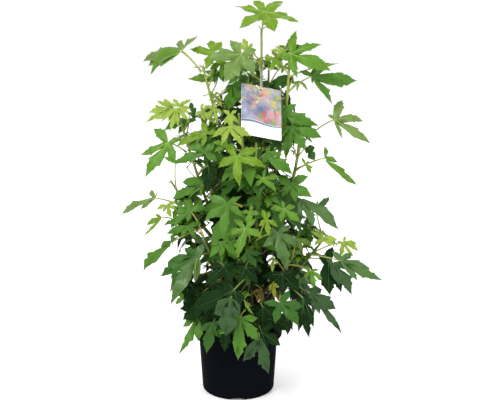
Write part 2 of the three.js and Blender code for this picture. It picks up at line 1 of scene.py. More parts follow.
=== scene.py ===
# The finish of a young sweetgum in its black nursery pot, with a picture card on its leading stem.
# Shapes are worked out in millimetres in the frame's axes and go into the meshes in metres.
import math
import bpy
import numpy as np
from mathutils.bvhtree import BVHTree
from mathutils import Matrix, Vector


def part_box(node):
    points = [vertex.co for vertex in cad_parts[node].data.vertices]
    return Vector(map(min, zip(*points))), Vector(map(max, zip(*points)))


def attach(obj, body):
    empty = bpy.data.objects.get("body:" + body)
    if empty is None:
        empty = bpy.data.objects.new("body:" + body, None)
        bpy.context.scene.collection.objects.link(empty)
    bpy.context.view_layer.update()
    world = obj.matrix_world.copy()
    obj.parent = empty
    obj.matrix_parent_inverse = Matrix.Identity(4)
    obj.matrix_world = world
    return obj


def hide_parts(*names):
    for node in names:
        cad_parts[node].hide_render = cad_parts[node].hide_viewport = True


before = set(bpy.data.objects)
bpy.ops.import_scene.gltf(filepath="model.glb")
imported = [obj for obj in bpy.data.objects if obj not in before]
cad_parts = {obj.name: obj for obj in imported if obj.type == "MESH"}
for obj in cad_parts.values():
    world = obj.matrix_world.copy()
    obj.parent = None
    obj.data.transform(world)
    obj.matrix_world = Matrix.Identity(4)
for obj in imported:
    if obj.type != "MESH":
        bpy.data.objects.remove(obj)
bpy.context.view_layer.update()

metre = 0.001  # of one millimetre
upward = np.array([0.0, 0.0, 1.0])
body = "root"


def mix(a, b, t):
    # a + (b - a) t
    return a + (b - a) * t


def unit(v):
    # v divided by its length
    return v / np.linalg.norm(v, axis=-1, keepdims=True)


def direction(heading, rise):
    # the unit vector of a compass heading and a rise above level, in degrees
    h, r = math.radians(heading), math.radians(rise)
    return np.array([math.cos(r) * math.cos(h), math.cos(r) * math.sin(h), math.sin(r)])


def bezier(points, t):
    # (1-t)^2 a + 2t(1-t) b + t^2 c
    a, b, c = points
    t = np.asarray(t, float)[..., None]
    return (1 - t) ** 2 * a + 2 * t * (1 - t) * b + t * t * c


def pathLength(points):
    # the sum of the short straight steps along the curve
    places = bezier(points, np.linspace(0, 1, 60))
    return np.linalg.norm(np.diff(places, axis=0), axis=1).sum()


def fromTable(table, where):
    # straight-line value from rows of (where, value)
    rows = np.array(table, float)
    return np.interp(where, rows[:, 0], rows[:, 1])


def roundSteps(sides):
    # equal steps of angle once round
    return 2 * math.pi * np.arange(sides) / sides


camera = {
    "place": np.array([33.0, -3000.0, 1300.0]),
    "pitch": 14.18,  # degrees below level
    "focal": 1142,  # in pixels of the picture
    "picture": (500, 400),
    "sensor": 36,
    "sees": (0.05, 100),  # from and to, in metres
}


def makeCamera():
    # the lens has the share of the sensor's width that the focal length in pixels has of the picture's
    data = bpy.data.cameras.new("camera")
    data.sensor_width = camera["sensor"]
    data.lens = camera["focal"] * camera["sensor"] / camera["picture"][0]
    data.clip_start, data.clip_end = camera["sees"]
    eye = bpy.data.objects.new("camera", data)
    eye.location = camera["place"] * metre
    eye.rotation_euler = (math.radians(90 - camera["pitch"]), 0, 0)
    bpy.context.scene.collection.objects.link(eye)
    bpy.context.scene.camera = eye


def sightLine(u, v):
    # direction through the picture point (u, v): (a, cos p + b sin p, b cos p - sin p)
    p = math.radians(camera["pitch"])
    a = (u - camera["picture"][0] / 2) / camera["focal"]
    b = (camera["picture"][1] / 2 - v) / camera["focal"]
    return np.array([a, math.cos(p) + b * math.sin(p), b * math.cos(p) - math.sin(p)])


def atDepth(point, depth):
    # where the sight line through a picture point reaches y = depth
    line = sightLine(*point)
    return camera["place"] + line * (depth - camera["place"][1]) / line[1]


def onPlane(point, middle, normal):
    # where the sight line meets the plane through middle: place + line ((middle - place) . n) / (line . n)
    line = sightLine(*point)
    return camera["place"] + line * np.dot(middle - camera["place"], normal) / np.dot(line, normal)


def inPicture(places):
    # picture point of each place: (half width + focal x / far, half height - focal rise / far)
    p = math.radians(camera["pitch"])
    d = places - camera["place"]
    far = d[..., 1] * math.cos(p) - d[..., 2] * math.sin(p)
    rise = d[..., 1] * math.sin(p) + d[..., 2] * math.cos(p)
    u = camera["picture"][0] / 2 + camera["focal"] * d[..., 0] / far
    v = camera["picture"][1] / 2 - camera["focal"] * rise / far
    return np.stack([u, v], -1)


makeCamera()
print("camera set")


def ringFaces(rings, sides):
    # quads between neighbouring rings, and fans to two poles that are numbered after the rings
    ring, step = np.meshgrid(np.arange(rings - 1), np.arange(sides), indexing="ij")
    a = ring * sides + step
    b = ring * sides + (step + 1) % sides
    quads = np.stack([a, b, b + sides, a + sides], -1).reshape(-1, 4)
    j = np.arange(sides)
    k = (j + 1) % sides
    last = (rings - 1) * sides
    fans = np.concatenate([
        np.stack([np.full(sides, rings * sides), k, j], -1),
        np.stack([np.full(sides, rings * sides + 1), last + j, last + k], -1),
    ])
    return [quads, fans]


def flipped(faces):
    # the same faces seen from the other side, each from the same first corner
    return np.roll(faces[:, ::-1], 1, axis=1)


def tube(path, radii, sides, reference=None):
    # ring point = centre + radius (cos(angle) side + sin(angle) over), with a pole at each end
    along = unit(np.gradient(path, axis=0))
    chord = path[-1] - path[0]
    if reference is None:
        reference = upward if abs(chord[1]) > abs(chord[2]) else np.array([0.0, 1.0, 0.0])
    side = unit(np.cross(along, reference))
    over = np.cross(along, side)
    angle = roundSteps(sides)
    radii = np.broadcast_to(np.asarray(radii, float).reshape(len(path), -1), (len(path), sides))
    spokes = np.cos(angle)[None, :, None] * side[:, None] + np.sin(angle)[None, :, None] * over[:, None]
    rings = path[:, None] + radii[..., None] * spokes
    points = np.concatenate([rings.reshape(-1, 3), path[:1], path[-1:]])
    return points, ringFaces(len(path), sides)


def joined(parts):
    # the points one after another and the faces moved up by the points before them
    points, quads, tris, count = [], [], [], 0
    for places, faces in parts:
        points.append(places)
        for group in faces:
            (quads if group.shape[1] == 4 else tris).append(group + count)
        count += len(places)
    return np.concatenate(points), [np.concatenate(g) for g in (quads, tris) if g]


def makePiece(name, points, faces, materials, slot, replaces=(), uv=None, shade=None, crease=50):
    # one mesh from whole arrays: points in millimetres, faces in groups of three or four corners,
    # shade the number of each face's material, crease the angle from which an edge stays sharp
    mesh = bpy.data.meshes.new(name)
    corners = np.concatenate([g.ravel() for g in faces])
    sizes = np.concatenate([np.full(len(g), g.shape[1]) for g in faces])
    mesh.vertices.add(len(points))
    mesh.vertices.foreach_set("co", (points * metre).astype(np.float32).ravel())
    mesh.loops.add(len(corners))
    mesh.loops.foreach_set("vertex_index", corners.astype(np.int32))
    mesh.polygons.add(len(sizes))
    mesh.polygons.foreach_set("loop_start", (np.cumsum(sizes) - sizes).astype(np.int32))
    mesh.update(calc_edges=True)
    mesh.polygons.foreach_set("use_smooth", np.ones(len(sizes), bool))
    for material in materials:
        mesh.materials.append(material)
    if shade is not None:
        mesh.polygons.foreach_set("material_index", shade.astype(np.int32))
    if uv is not None:
        layer = mesh.uv_layers.new(name="blade")
        layer.data.foreach_set("uv", uv[corners].astype(np.float32).ravel())
    mesh.set_sharp_from_angle(angle=math.radians(crease))
    mesh.validate()
    piece = bpy.data.objects.new(name, mesh)
    bpy.context.scene.collection.objects.link(piece)
    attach(piece, body)
    if replaces:
        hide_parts(*replaces)
    return piece


def colour(red, green, blue):
    # display values 0 to 255 as linear light
    c = np.array([red, green, blue]) / 255
    return (*np.where(c <= 0.04045, c / 12.92, ((c + 0.055) / 1.055) ** 2.4), 1.0)


def scaled(base, factor):
    # each of red, green and blue times the factor, up to 1
    return (*(min(1.0, c * factor) for c in base[:3]), 1.0)


class Finish:
    # a material whose nodes are added and joined by short calls

    def __init__(self, name, roughness=0.5, specular=0.5):
        self.material = bpy.data.materials.new(name)
        self.material.use_nodes = True
        self.tree = self.material.node_tree
        self.shader = self.tree.nodes["Principled BSDF"]
        self.shader.inputs["Roughness"].default_value = roughness
        self.shader.inputs["Specular IOR Level"].default_value = specular

    def node(self, kind, **inputs):
        # a new node, its inputs fed by name
        made = self.tree.nodes.new(kind)
        for key, value in inputs.items():
            self.feed(made.inputs[key.replace("_", " ")], value)
        return made

    def feed(self, socket, value):
        # a link where the value is another node's output, a constant where it isn't
        if isinstance(value, bpy.types.NodeSocket):
            self.tree.links.new(value, socket)
        else:
            socket.default_value = value

    def place(self):
        # the piece's own coordinates, in metres
        return self.node("ShaderNodeTexCoord").outputs["Object"]

    def parts(self, vector):
        # x, y and z of a vector
        return self.node("ShaderNodeSeparateXYZ", Vector=vector).outputs

    def noise(self, scale, detail=3.0, stretch=(1, 1, 1), where=None):
        # cloudy values around 0.5, on the piece's own axes times the stretch
        if where is None:
            where = self.node("ShaderNodeMapping", Vector=self.place(), Scale=stretch).outputs["Vector"]
        return self.node("ShaderNodeTexNoise", Vector=where, Scale=scale, Detail=detail).outputs["Fac"]

    def ramp(self, value, stops):
        # straight-line colour from rows of (value, display or linear colour)
        made = self.node("ShaderNodeValToRGB", Fac=value)
        elements = made.color_ramp.elements
        while len(elements) < len(stops):
            elements.new(0.5)
        for element, (at, shade) in zip(elements, stops):
            element.position = at
            element.color = shade if len(shade) == 4 else colour(*shade)
        return made.outputs["Color"]

    def range(self, value, low, high, start=0.3, end=0.7):
        # low up to start, high from end on, and a straight line between
        made = self.node("ShaderNodeMapRange", Value=value, From_Min=start, From_Max=end)
        self.feed(made.inputs["To Min"], low)
        self.feed(made.inputs["To Max"], high)
        return made.outputs["Result"]

    def blend(self, share, a, b):
        # a + (b - a) share, of colours
        made = self.tree.nodes.new("ShaderNodeMix")
        made.data_type = "RGBA"
        self.feed(made.inputs[0], share)
        self.feed(made.inputs[6], a)
        self.feed(made.inputs[7], b)
        return made.outputs[2]

    def sum(self, kind, a, b=0.5, c=0.5):
        # one step of arithmetic on numbers
        made = self.tree.nodes.new("ShaderNodeMath")
        made.operation = kind
        for socket, value in zip(made.inputs, (a, b, c)):
            self.feed(socket, value)
        return made.outputs[0]

    def bump(self, height, distance, strength):
        # relief in the shading, distance metres high
        made = self.node("ShaderNodeBump", Height=height, Distance=distance, Strength=strength)
        self.feed(self.shader.inputs["Normal"], made.outputs["Normal"])

    def set(self, **inputs):
        # the shader's own inputs, by name
        for key, value in inputs.items():
            self.feed(self.shader.inputs[key.replace("_", " ")], value)


leafLook = {
    "cloud": {"scale": 38, "detail": 4}, "darkest": 0.84, "palest": 1.12,
    "sideVeins": 11.0, "slant": -2.0, "veinWidth": 0.14, "veinsFrom": 0.42, "veinShade": 1.5,
    "sheen": {"scale": 90, "detail": 3}, "smooth": -0.06, "rough": 0.1,  # added to the tint's roughness
    "grain": {"scale": 260, "detail": 3}, "veinDepth": -0.6, "relief": 0.0006, "reliefStrength": 0.35,
    "through": (1.9, 1.7, 0.9),  # red, green and blue of the light let through, as shares of the tint's
}


def leafFinish(name, base, gloss, glow=0.3, veins=0.5):
    # plain green with a little cloudiness, paler side veins, and light let through from behind
    look = leafLook
    finish = Finish(name, specular=0.5 * (1 - gloss))
    cloud = finish.noise(**look["cloud"])
    green = finish.ramp(cloud, [(0.3, scaled(base, look["darkest"])), (0.7, scaled(base, look["palest"]))])
    across, along, _ = finish.parts(finish.node("ShaderNodeUVMap").outputs["UV"])
    # beyond the notches, a side vein wherever sideVeins along + slant across passes a whole number
    turned = finish.sum("MULTIPLY", across, look["slant"])
    wave = finish.sum("FRACT", finish.sum("MULTIPLY_ADD", along, look["sideVeins"], turned))
    thin = finish.sum("LESS_THAN", wave, look["veinWidth"])
    line = finish.sum("MULTIPLY", thin, finish.sum("GREATER_THAN", along, look["veinsFrom"]))
    green = finish.blend(finish.sum("MULTIPLY", line, veins), green, scaled(base, look["veinShade"]))
    sheen = finish.range(finish.noise(**look["sheen"]), gloss + look["smooth"], gloss + look["rough"])
    finish.set(Base_Color=green, Roughness=sheen)
    relief = finish.sum("MULTIPLY_ADD", line, look["veinDepth"], finish.noise(**look["grain"]))
    finish.bump(relief, look["relief"], look["reliefStrength"])
    glowing = tuple(c * share for c, share in zip(base, look["through"]))
    through = finish.node("ShaderNodeBsdfTranslucent", Color=(*glowing, 1))
    both = finish.node("ShaderNodeMixShader", Fac=glow)
    finish.feed(both.inputs[1], finish.shader.outputs[0])
    finish.feed(both.inputs[2], through.outputs[0])
    finish.feed(finish.tree.nodes["Material Output"].inputs["Surface"], both.outputs[0])
    return finish.material


stemLook = {
    "blotch": {"scale": 45, "detail": 4, "stretch": (1, 1, 0.3)}, "blotches": 0.9,
    "streak": {"scale": 420, "detail": 4, "stretch": (1, 1, 0.08)}, "streaks": 0.55, "streakShade": 0.55,
    "pore": {"scale": 300, "detail": 2, "stretch": (1, 1, 0.7)}, "pores": 0.5, "poreColour": (150, 140, 105),
    "smooth": -0.1, "rough": 0.2, "relief": 0.0009, "reliefStrength": 0.6,
}


def stemFinish(name, young, old, lowZ, highZ, roughness):
    # old below lowZ and young above highZ (metres), with dark streaks along it and paler pores
    look = stemLook
    finish = Finish(name, roughness)
    height = finish.range(finish.parts(finish.place())[2], 0.0, 1.0, lowZ, highZ)
    blotch = finish.sum("SUBTRACT", finish.noise(**look["blotch"]), 0.5)
    share = finish.sum("MULTIPLY_ADD", blotch, look["blotches"], height)
    base = finish.ramp(share, [(0.1, old), (0.9, young)])
    streak = finish.noise(**look["streak"])
    dark = finish.range(streak, 0.0, look["streaks"], 0.4, 0.7)
    base = finish.blend(dark, base, scaled(colour(*old), look["streakShade"]))
    pore = finish.range(finish.noise(**look["pore"]), 0.0, look["pores"], 0.66, 0.72)
    base = finish.blend(pore, base, colour(*look["poreColour"]))
    sheen = finish.range(streak, roughness + look["smooth"], roughness + look["rough"])
    finish.set(Base_Color=base, Roughness=sheen)
    finish.bump(finish.sum("ADD", streak, pore), look["relief"], look["reliefStrength"])
    return finish.material


plasticLook = {
    "black": (10, 11, 16), "specular": 0.015, "ior": 1.3, "roughness": (0.52, 0.68),
    "haze": {"scale": 9, "detail": 5, "stretch": (1, 1, 0.5)}, "hazes": 0.5, "hazeColour": (13, 14, 19),
    "scuff": {"scale": 60, "detail": 6, "stretch": (1, 1, 6)}, "scuffs": 0.2, "scuffColour": (20, 21, 24),
    "grain": {"scale": 900, "detail": 2}, "scuffDepth": 0.3, "relief": 0.0003, "reliefStrength": 0.25,
}


def plasticFinish():
    # black with a slow haze, scuffs that run round, and a fine grain
    look = plasticLook
    finish = Finish("blackPlastic", specular=look["specular"])
    haze, scuff = finish.noise(**look["haze"]), finish.noise(**look["scuff"])
    hazy = finish.range(haze, 0.0, look["hazes"], 0.4, 0.75)
    black = finish.blend(hazy, colour(*look["black"]), colour(*look["hazeColour"]))
    scuffed = finish.range(scuff, 0.0, look["scuffs"], 0.68, 0.8)
    black = finish.blend(scuffed, black, colour(*look["scuffColour"]))
    finish.set(Base_Color=black, Roughness=finish.range(haze, *look["roughness"]), IOR=look["ior"])
    relief = finish.sum("MULTIPLY_ADD", scuff, look["scuffDepth"], finish.noise(**look["grain"]))
    finish.bump(relief, look["relief"], look["reliefStrength"])
    return finish.material


compostLook = {
    "crumb": {"scale": 180, "detail": 6}, "relief": 0.002, "reliefStrength": 0.9,
    "tones": [(0.25, (22, 15, 11)), (0.5, (52, 36, 25)), (0.75, (88, 64, 44))],
    "fleck": {"scale": 420, "detail": 2}, "flecks": 0.7, "fleckColour": (170, 160, 140),
}


def compostFinish():
    # dark crumbs with pale flecks
    look = compostLook
    finish = Finish("compostMix", 0.95, 0.25)
    crumb = finish.noise(**look["crumb"])
    base = finish.ramp(crumb, look["tones"])
    fleck = finish.range(finish.noise(**look["fleck"]), 0.0, look["flecks"], 0.7, 0.75)
    finish.set(Base_Color=finish.blend(fleck, base, colour(*look["fleckColour"])))
    finish.bump(crumb, look["relief"], look["reliefStrength"])
    return finish.material


cardLook = {
    "fibre": {"scale": 500, "detail": 4}, "tones": [(0.3, (222, 226, 230)), (0.7, (240, 242, 244))],
    "roughness": (0.28, 0.4), "coat": 0.3, "relief": 0.0001, "reliefStrength": 0.2,
}


def cardFinish():
    # coated white card with a faint fibre
    look = cardLook
    finish = Finish("cardStock", 0.34, 0.5)
    fibre = finish.noise(**look["fibre"])
    white, sheen = finish.ramp(fibre, look["tones"]), finish.range(fibre, *look["roughness"])
    finish.set(Base_Color=white, Roughness=sheen, Coat_Weight=look["coat"])
    finish.bump(fibre, look["relief"], look["reliefStrength"])
    return finish.material


printLook = {
    "sky": [(0.36, (84, 93, 118)), (0.46, (118, 125, 150)), (0.56, (146, 150, 168)), (0.7, (176, 170, 172))],
    "clumps": [  # each clump's colours follow its own pick from 0 to 1
        {"cells": 6, "right": 0.5, "low": -0.25, "gather": 0.5, "strength": 0.9,
         "tones": [(0.0, (92, 116, 66)), (0.5, (132, 146, 78)), (0.8, (84, 96, 84))]},
        {"cells": 8, "right": 0.5, "low": -0.2, "gather": 0.5, "strength": 0.9,
         "tones": [(0.0, (164, 56, 66)), (0.5, (178, 78, 86)), (0.8, (186, 124, 132))]},
        {"cells": 9, "right": 0.1, "low": -0.45, "gather": 0.16, "strength": 0.85,
         "tones": [(0.0, (160, 62, 74)), (0.5, (106, 128, 84)), (0.8, (180, 124, 122))]},
        {"cells": 11, "right": 0.1, "low": 0.5, "gather": 0.8, "strength": 0.85,
         "tones": [(0.0, (196, 186, 108)), (0.6, (140, 148, 84)), (0.85, (188, 150, 110))]},
    ],
    "gatherOver": 0.12,  # how softly a place where clumps gather begins
    "clumpEdge": (0.3, 0.6),  # from full to nothing, in cells
    "slow": (2.5, 0.4),  # scale of the slow cloud, and how much of a clump's own is added
    "squash": (0.75, 1.0, 1.0),  # the card's width over its height
    "haze": 3.0, "hazeShare": 0.9, "toTheRight": 0.1, "coat": 0.2,
    "wander": {"Scale": 7.0, "Detail": 5.0}, "wanderBy": (0.3, 0.3, 0.0),
    "grain": {"scale": 40, "detail": 2}, "relief": 0.0001, "reliefStrength": 0.15,
}


def printFinish():
    # a hazy sky and soft-edged clumps of blossom and leaf, each kind where
    # low times height + right times width + a slow cloud passes the value at which it gathers
    look = printLook
    finish = Finish("cardPicture", 0.34, 0.35)
    uvMap = finish.node("ShaderNodeUVMap").outputs["UV"]
    across, rise, _ = finish.parts(uvMap)
    even = finish.node("ShaderNodeMapping", Vector=uvMap, Scale=look["squash"]).outputs["Vector"]
    # the clumps' edges wander, as in paint
    wander = finish.node("ShaderNodeTexNoise", Vector=even, **look["wander"]).outputs["Color"]
    shift = finish.node("ShaderNodeVectorMath")
    shift.operation = "MULTIPLY_ADD"
    for socket, value in zip(shift.inputs, (wander, look["wanderBy"], even)):
        finish.feed(socket, value)
    where = shift.outputs["Vector"]
    warmer = finish.sum("MULTIPLY", across, look["toTheRight"])
    cloud = finish.noise(look["haze"], 6, where=even)
    picture = finish.ramp(finish.sum("MULTIPLY_ADD", cloud, look["hazeShare"], warmer), look["sky"])
    for clump in look["clumps"]:
        scale = float(clump["cells"])
        cells = finish.node("ShaderNodeTexVoronoi", Vector=where, Scale=scale, Randomness=1.0)
        pick = finish.node("ShaderNodeSeparateColor", Color=cells.outputs["Color"]).outputs[0]
        inside = finish.range(cells.outputs["Distance"], 1.0, 0.0, *look["clumpEdge"])
        slow = finish.noise(look["slow"][0] + look["slow"][1] * scale, 3, where=even)
        place = finish.sum("MULTIPLY_ADD", across, clump["right"], slow)
        place = finish.sum("MULTIPLY_ADD", rise, clump["low"], place)
        gather = clump["gather"]
        zone = finish.range(place, 0.0, clump["strength"], gather, gather + look["gatherOver"])
        tone = finish.ramp(pick, clump["tones"])
        picture = finish.blend(finish.sum("MULTIPLY", inside, zone), picture, tone)
    finish.set(Base_Color=picture, Coat_Weight=look["coat"])
    finish.bump(finish.noise(**look["grain"], where=uvMap), look["relief"], look["reliefStrength"])
    return finish.material


plainLook = {"darkest": 0.88, "palest": 1.1, "smooth": -0.06, "rough": 0.08, "reliefStrength": 0.4}


def plainFinish(name, base, roughness, grain, depth=0.0002):
    # one display colour with a little cloudiness in tone and roughness
    look, base = plainLook, colour(*base)
    finish = Finish(name)
    cloud = finish.noise(grain, 4)
    tone = finish.ramp(cloud, [(0.3, scaled(base, look["darkest"])), (0.7, scaled(base, look["palest"]))])
    sheen = finish.range(cloud, roughness + look["smooth"], roughness + look["rough"])
    finish.set(Base_Color=tone, Roughness=sheen)
    finish.bump(cloud, depth, look["reliefStrength"])
    return finish.material


# display colour and roughness of each tint of leaf, from the oldest to the youngest, then the odd ones.
# The darker tints also paint shade and the brighter ones light: deep, dusk and dark go to leaves that sit
# low, inside or in shade, bright and fresh to leaves in the light. Dusk, slate and pale also hold a painted
# grey-blue sheen, the sky's reflection, in their colour.
tints = {
    "deep": ((16, 46, 8), 0.7),
    "dusk": ((53, 82, 44), 0.5),
    "dark": ((50, 95, 21), 0.44),
    "mid": ((73, 119, 27), 0.42),
    "bright": ((87, 130, 29), 0.44),
    "fresh": ((104, 138, 24), 0.46),
    "young": ((139, 161, 63), 0.5),
    "slate": ((75, 109, 51), 0.36),
    "pale": ((106, 133, 66), 0.38),
    "lime": ((94, 120, 40), 0.48),
    "golden": ((130, 132, 38), 0.55),
    "rust": ((96, 82, 36), 0.7),
}

pot = {
    "baseRadius": 92,
    "footRound": 8,
    "wallTopRadius": 109,
    "bandHeight": 38,
    "rimRadius": 124,
    "wall": 2.4,
    "floor": 3,
    "notches": 4,
    "notchWidth": 38,
    "notchHeight": 9,
    "notchFrom": 80,  # radius at which a notch begins under the pot
    "notchBelow": 30,  # height of the part that a notch can lift
    "liner": 2,  # how much higher the notch is inside
    "sides": 288,
    "baseRings": (0, 40, 70, 79.4, 80.2, 86),  # radii, two of them close together where the notches begin
    "wallRings": [(101, 25), (103.5, 65), (106, 105), (108, 140)],  # radii and heights
    "innerRings": [(103, 100), (99.5, 40)],
    "floorRings": [(95, 8), (80.6, 3.2)],
    "floorRadii": (79, 60, 0),
    "rimRound": 5,
    "lipRound": 1.4,
}


def arc(middle, radius, start, end, steps):
    # middle + radius (cos, sin) from start to end degrees
    turn = np.radians(np.linspace(start, end, steps))
    return np.stack([middle[0] + radius * np.cos(turn), middle[1] + radius * np.sin(turn)], -1)


def potProfiles():
    # (radius, height) outside from the middle of the base up to the rim, and inside down to the floor
    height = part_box("pot")[1].z / metre
    base, foot, wall, rim = pot["baseRadius"], pot["footRound"], pot["wall"], pot["rimRadius"]
    bandFoot, top = height - pot["bandHeight"], pot["wallTopRadius"]
    bandRound, lip = pot["rimRound"], pot["lipRound"]
    outside = np.concatenate([
        [(radius, 0) for radius in pot["baseRings"]],
        arc((base, foot), foot, -90, 0, 9),
        pot["wallRings"],
        arc((top + 2, bandFoot - 2), 2, 180, 90, 4),
        arc((rim - 2 - bandRound, bandFoot + bandRound), bandRound, -90, 0, 6),
        [(rim - 1.6, bandFoot + 14), (rim - 1.2, height - 8)],
        arc((rim - lip, height - 2 - lip), lip, -60, 60, 5),
        arc((rim - 1.9, height - 1.2), 1.2, 20, 90, 4),
    ])
    inside = np.concatenate([
        arc((rim - wall - 0.2, height - 0.7), 0.7, 90, 180, 3),
        [(rim - wall - 1.8, bandFoot + 8), (top - wall, bandFoot + 1)],
        pot["innerRings"], [(base + foot - wall, foot + 4)], pot["floorRings"],
        [(radius, pot["floor"]) for radius in pot["floorRadii"]],
    ])
    return outside, inside


def makePot():
    # radius and height follow the profile; in a notch the foot is lifted to an arch h sqrt(1 - (x / half)^2)
    outside, inside = potProfiles()
    turn = roundSteps(pot["sides"])
    quarter = 2 * math.pi / pot["notches"]
    off = (turn + quarter / 2) % quarter - quarter / 2
    x = pot["baseRadius"] * np.tan(off) / (pot["notchWidth"] / 2)
    arch = pot["notchHeight"] * np.sqrt(np.clip(1 - x * x, 0, None))
    profile = np.concatenate([outside, inside])
    r, z = (np.broadcast_to(profile[:, k, None], (len(profile), pot["sides"])) for k in (0, 1))
    isOutside = np.arange(len(profile))[:, None] < len(outside)
    lift = np.where(isOutside, arch, np.where(arch > 0, arch + pot["liner"], 0))
    z = np.where((r > pot["notchFrom"]) & (z < pot["notchBelow"]), np.maximum(z, lift), z)
    rings = np.stack([r * np.cos(turn), r * np.sin(turn), z], -1)[1:-1]
    points = np.concatenate([rings.reshape(-1, 3), [[0, 0, 0], [0, 0, pot["floor"]]]])
    faces = ringFaces(len(rings), pot["sides"])
    makePiece("nursery_pot", points, faces, [plasticFinish()], "black_plastic", ["pot"], crease=35)


makePot()
print("pot made")

compost = {
    "rim": 115, "foot": 68, "sides": 96, "rings": 34, "lump": 2.2, "dish": 1.5, "below": 1.2, "seed": 5,
    "innerRings": [(105, 161), (96, 40)],  # radii and heights against the pot's wall
    "octaves": 6, "pitch": 0.03, "growth": 1.9, "fall": 0.62,
    "chips": 420, "chipLow": (2, 1.4, 0.6), "chipHigh": (7, 3.6, 1.6), "chipTilt": 0.35,
    "chipUneven": (0.6, 1.1), "chipEdge": 12, "chipLift": 0.6,
}


def smoothNoise(x, y, seed):
    # sum of sines of growing pitch and falling height, between about -1 and 1
    deal = np.random.default_rng(seed)
    total = np.zeros_like(x)
    for octave in range(compost["octaves"]):
        pitch, height = compost["pitch"] * compost["growth"] ** octave, compost["fall"] ** octave
        heading, phase = deal.uniform(0, 2 * math.pi, 2)
        across = x * math.cos(heading) + y * math.sin(heading)
        total += height * np.sin(pitch * across * 2 * math.pi + phase)
    return total / 1.8


def makeCompost():
    # a lumpy top, z = top + lump noise(x, y) - dish (r / rim)^4, on the solid's sides
    low, high = (corner.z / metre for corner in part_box("compost"))
    top, rim, sides = high - compost["below"], compost["rim"], compost["sides"]
    turn = roundSteps(sides)
    radii = np.linspace(4, rim - 3, compost["rings"])
    r, t = np.meshgrid(radii, turn, indexing="ij")
    x, y = r * np.cos(t), r * np.sin(t)
    z = top + compost["lump"] * smoothNoise(x, y, compost["seed"]) - compost["dish"] * (r / rim) ** 4
    upper = np.stack([x, y, np.minimum(z, high + 1.5)], -1)
    lower = [(rim - 1, top - 5), *compost["innerRings"], (compost["foot"], low)]
    rings = [np.stack([a * np.cos(turn), a * np.sin(turn), np.full(sides, b)], -1) for a, b in lower]
    points = np.concatenate([upper.reshape(-1, 3), *rings, [[0, 0, top], [0, 0, low]]])
    faces = [flipped(group) for group in ringFaces(len(radii) + len(lower), sides)]
    makePiece("compost_surface", points, faces, [compostFinish()], "compost", ["compost"], crease=60)
    makeChips(top)


def makeChips(top):
    # bark chips: uneven boxes turned about z, tilted, and dropped at random on the surface
    deal = np.random.default_rng(compost["seed"])
    count = compost["chips"]
    corners = np.array([[i, j, k] for i in (-1, 1) for j in (-1, 1) for k in (-1, 1)], float)
    size = deal.uniform(compost["chipLow"], compost["chipHigh"], (count, 3))
    boxes = corners[None] * size[:, None] * deal.uniform(*compost["chipUneven"], (count, 8, 1))
    turns = deal.uniform(0, 2 * math.pi, count)
    tilt = deal.uniform(-compost["chipTilt"], compost["chipTilt"], count)
    c, s = np.cos(turns)[:, None], np.sin(turns)[:, None]
    bx, by, bz = boxes[..., 0], boxes[..., 1], boxes[..., 2] + boxes[..., 0] * tilt[:, None]
    where = np.sqrt(deal.uniform(0, 1, count)) * (compost["rim"] - compost["chipEdge"])
    spin = deal.uniform(0, 2 * math.pi, count)
    px, py = (where * np.cos(spin))[:, None], (where * np.sin(spin))[:, None]
    pz = top + compost["chipLift"] + compost["lump"] * smoothNoise(px, py, compost["seed"])
    chips = np.stack([px + bx * c - by * s, py + bx * s + by * c, pz + bz], -1)
    box = np.array([[0, 1, 3, 2], [4, 6, 7, 5], [0, 4, 5, 1], [2, 3, 7, 6], [0, 2, 6, 4], [1, 5, 7, 3]])
    quads = (box[None] + 8 * np.arange(count)[:, None, None]).reshape(-1, 4)
    chip = plainFinish("barkChip", (74, 50, 34), 0.85, 220, 0.0008)
    makePiece("compost_chips", chips.reshape(-1, 3), [quads], [chip], "compost", crease=20)


makeCompost()
print("compost made")

trunk = {
    "foot": (22, 4), "top": (66, 0), "forkHeight": 420, "compostTop": 165,
    "flare": 6, "footRadius": 11, "topRadius": 8, "sides": 28, "rough": 0.055,
}
stem = {
    "footRadius": 6.4, "tipRadius": 2.6, "collar": 2.2,
    "sides": 16, "rough": 0.04, "leafySides": 12, "leafyRough": 0.025,
}
bark = {
    "scarEvery": 22, "scarWidth": 0.09, "scarTurn": 2.51, "scarRing": 0.25, "scarSide": 0.9,
    "waveEvery": 40, "octaves": 5, "fall": 0.6,
}
# name: parent, height of its foot, heading, reach, height of its tip, outward pull, bare share of its
# length, phase of its leaves
shoots = {
    "leader": ("trunk", 420, 180, 3, 1000, 0.5, 0.42, 200),
    "left_high": ("leader", 455, 187, 157, 906, 0.6, 0.38, 60),
    "left_mid": ("trunk", 232, 189, 203, 799, 0.55, 0.42, 150),
    "left_low": ("left_mid", 392, 189, 152, 604, 0.5, 0.3, 20),
    "right_high": ("leader", 500, -16, 74, 937, 0.9, 0.4, 310),
    "right_mid": ("trunk", 385, -16, 107, 770, 0.95, 0.38, 100),
    "right_low": ("trunk", 218, -17, 205, 452, 0.5, 0.4, 250),
    "front_high": ("leader", 480, 243, 135, 800, 0.7, 0.4, 0),
    "front_mid": ("trunk", 300, -92, 127, 725, 0.8, 0.38, 90),
    "front_low": ("trunk", 212, -91, 122, 455, 0.6, 0.36, 220),
    "front_left": ("trunk", 205, 218, 160, 470, 0.6, 0.38, 120),
    "front_right": ("trunk", 225, -46, 156, 420, 0.55, 0.38, 40),
    "back_high": ("leader", 540, 80, 110, 880, 0.8, 0.36, 170),
    "back_left": ("trunk", 330, 140, 185, 700, 0.65, 0.38, 280),
    "back_right": ("trunk", 350, 42, 165, 730, 0.7, 0.38, 330),
    "back_low": ("trunk", 242, 98, 175, 500, 0.6, 0.24, 30),
    "back_low_left": ("trunk", 222, 158, 190, 440, 0.55, 0.24, 200),
    "back_low_right": ("trunk", 256, 22, 190, 520, 0.6, 0.24, 300),
}


def placeAtHeight(path, height):
    # the point of a rising path that is at a height
    t = np.linspace(0, 1, 2001)
    places = bezier(path, t)
    return bezier(path, np.interp(height, places[:, 2], t))


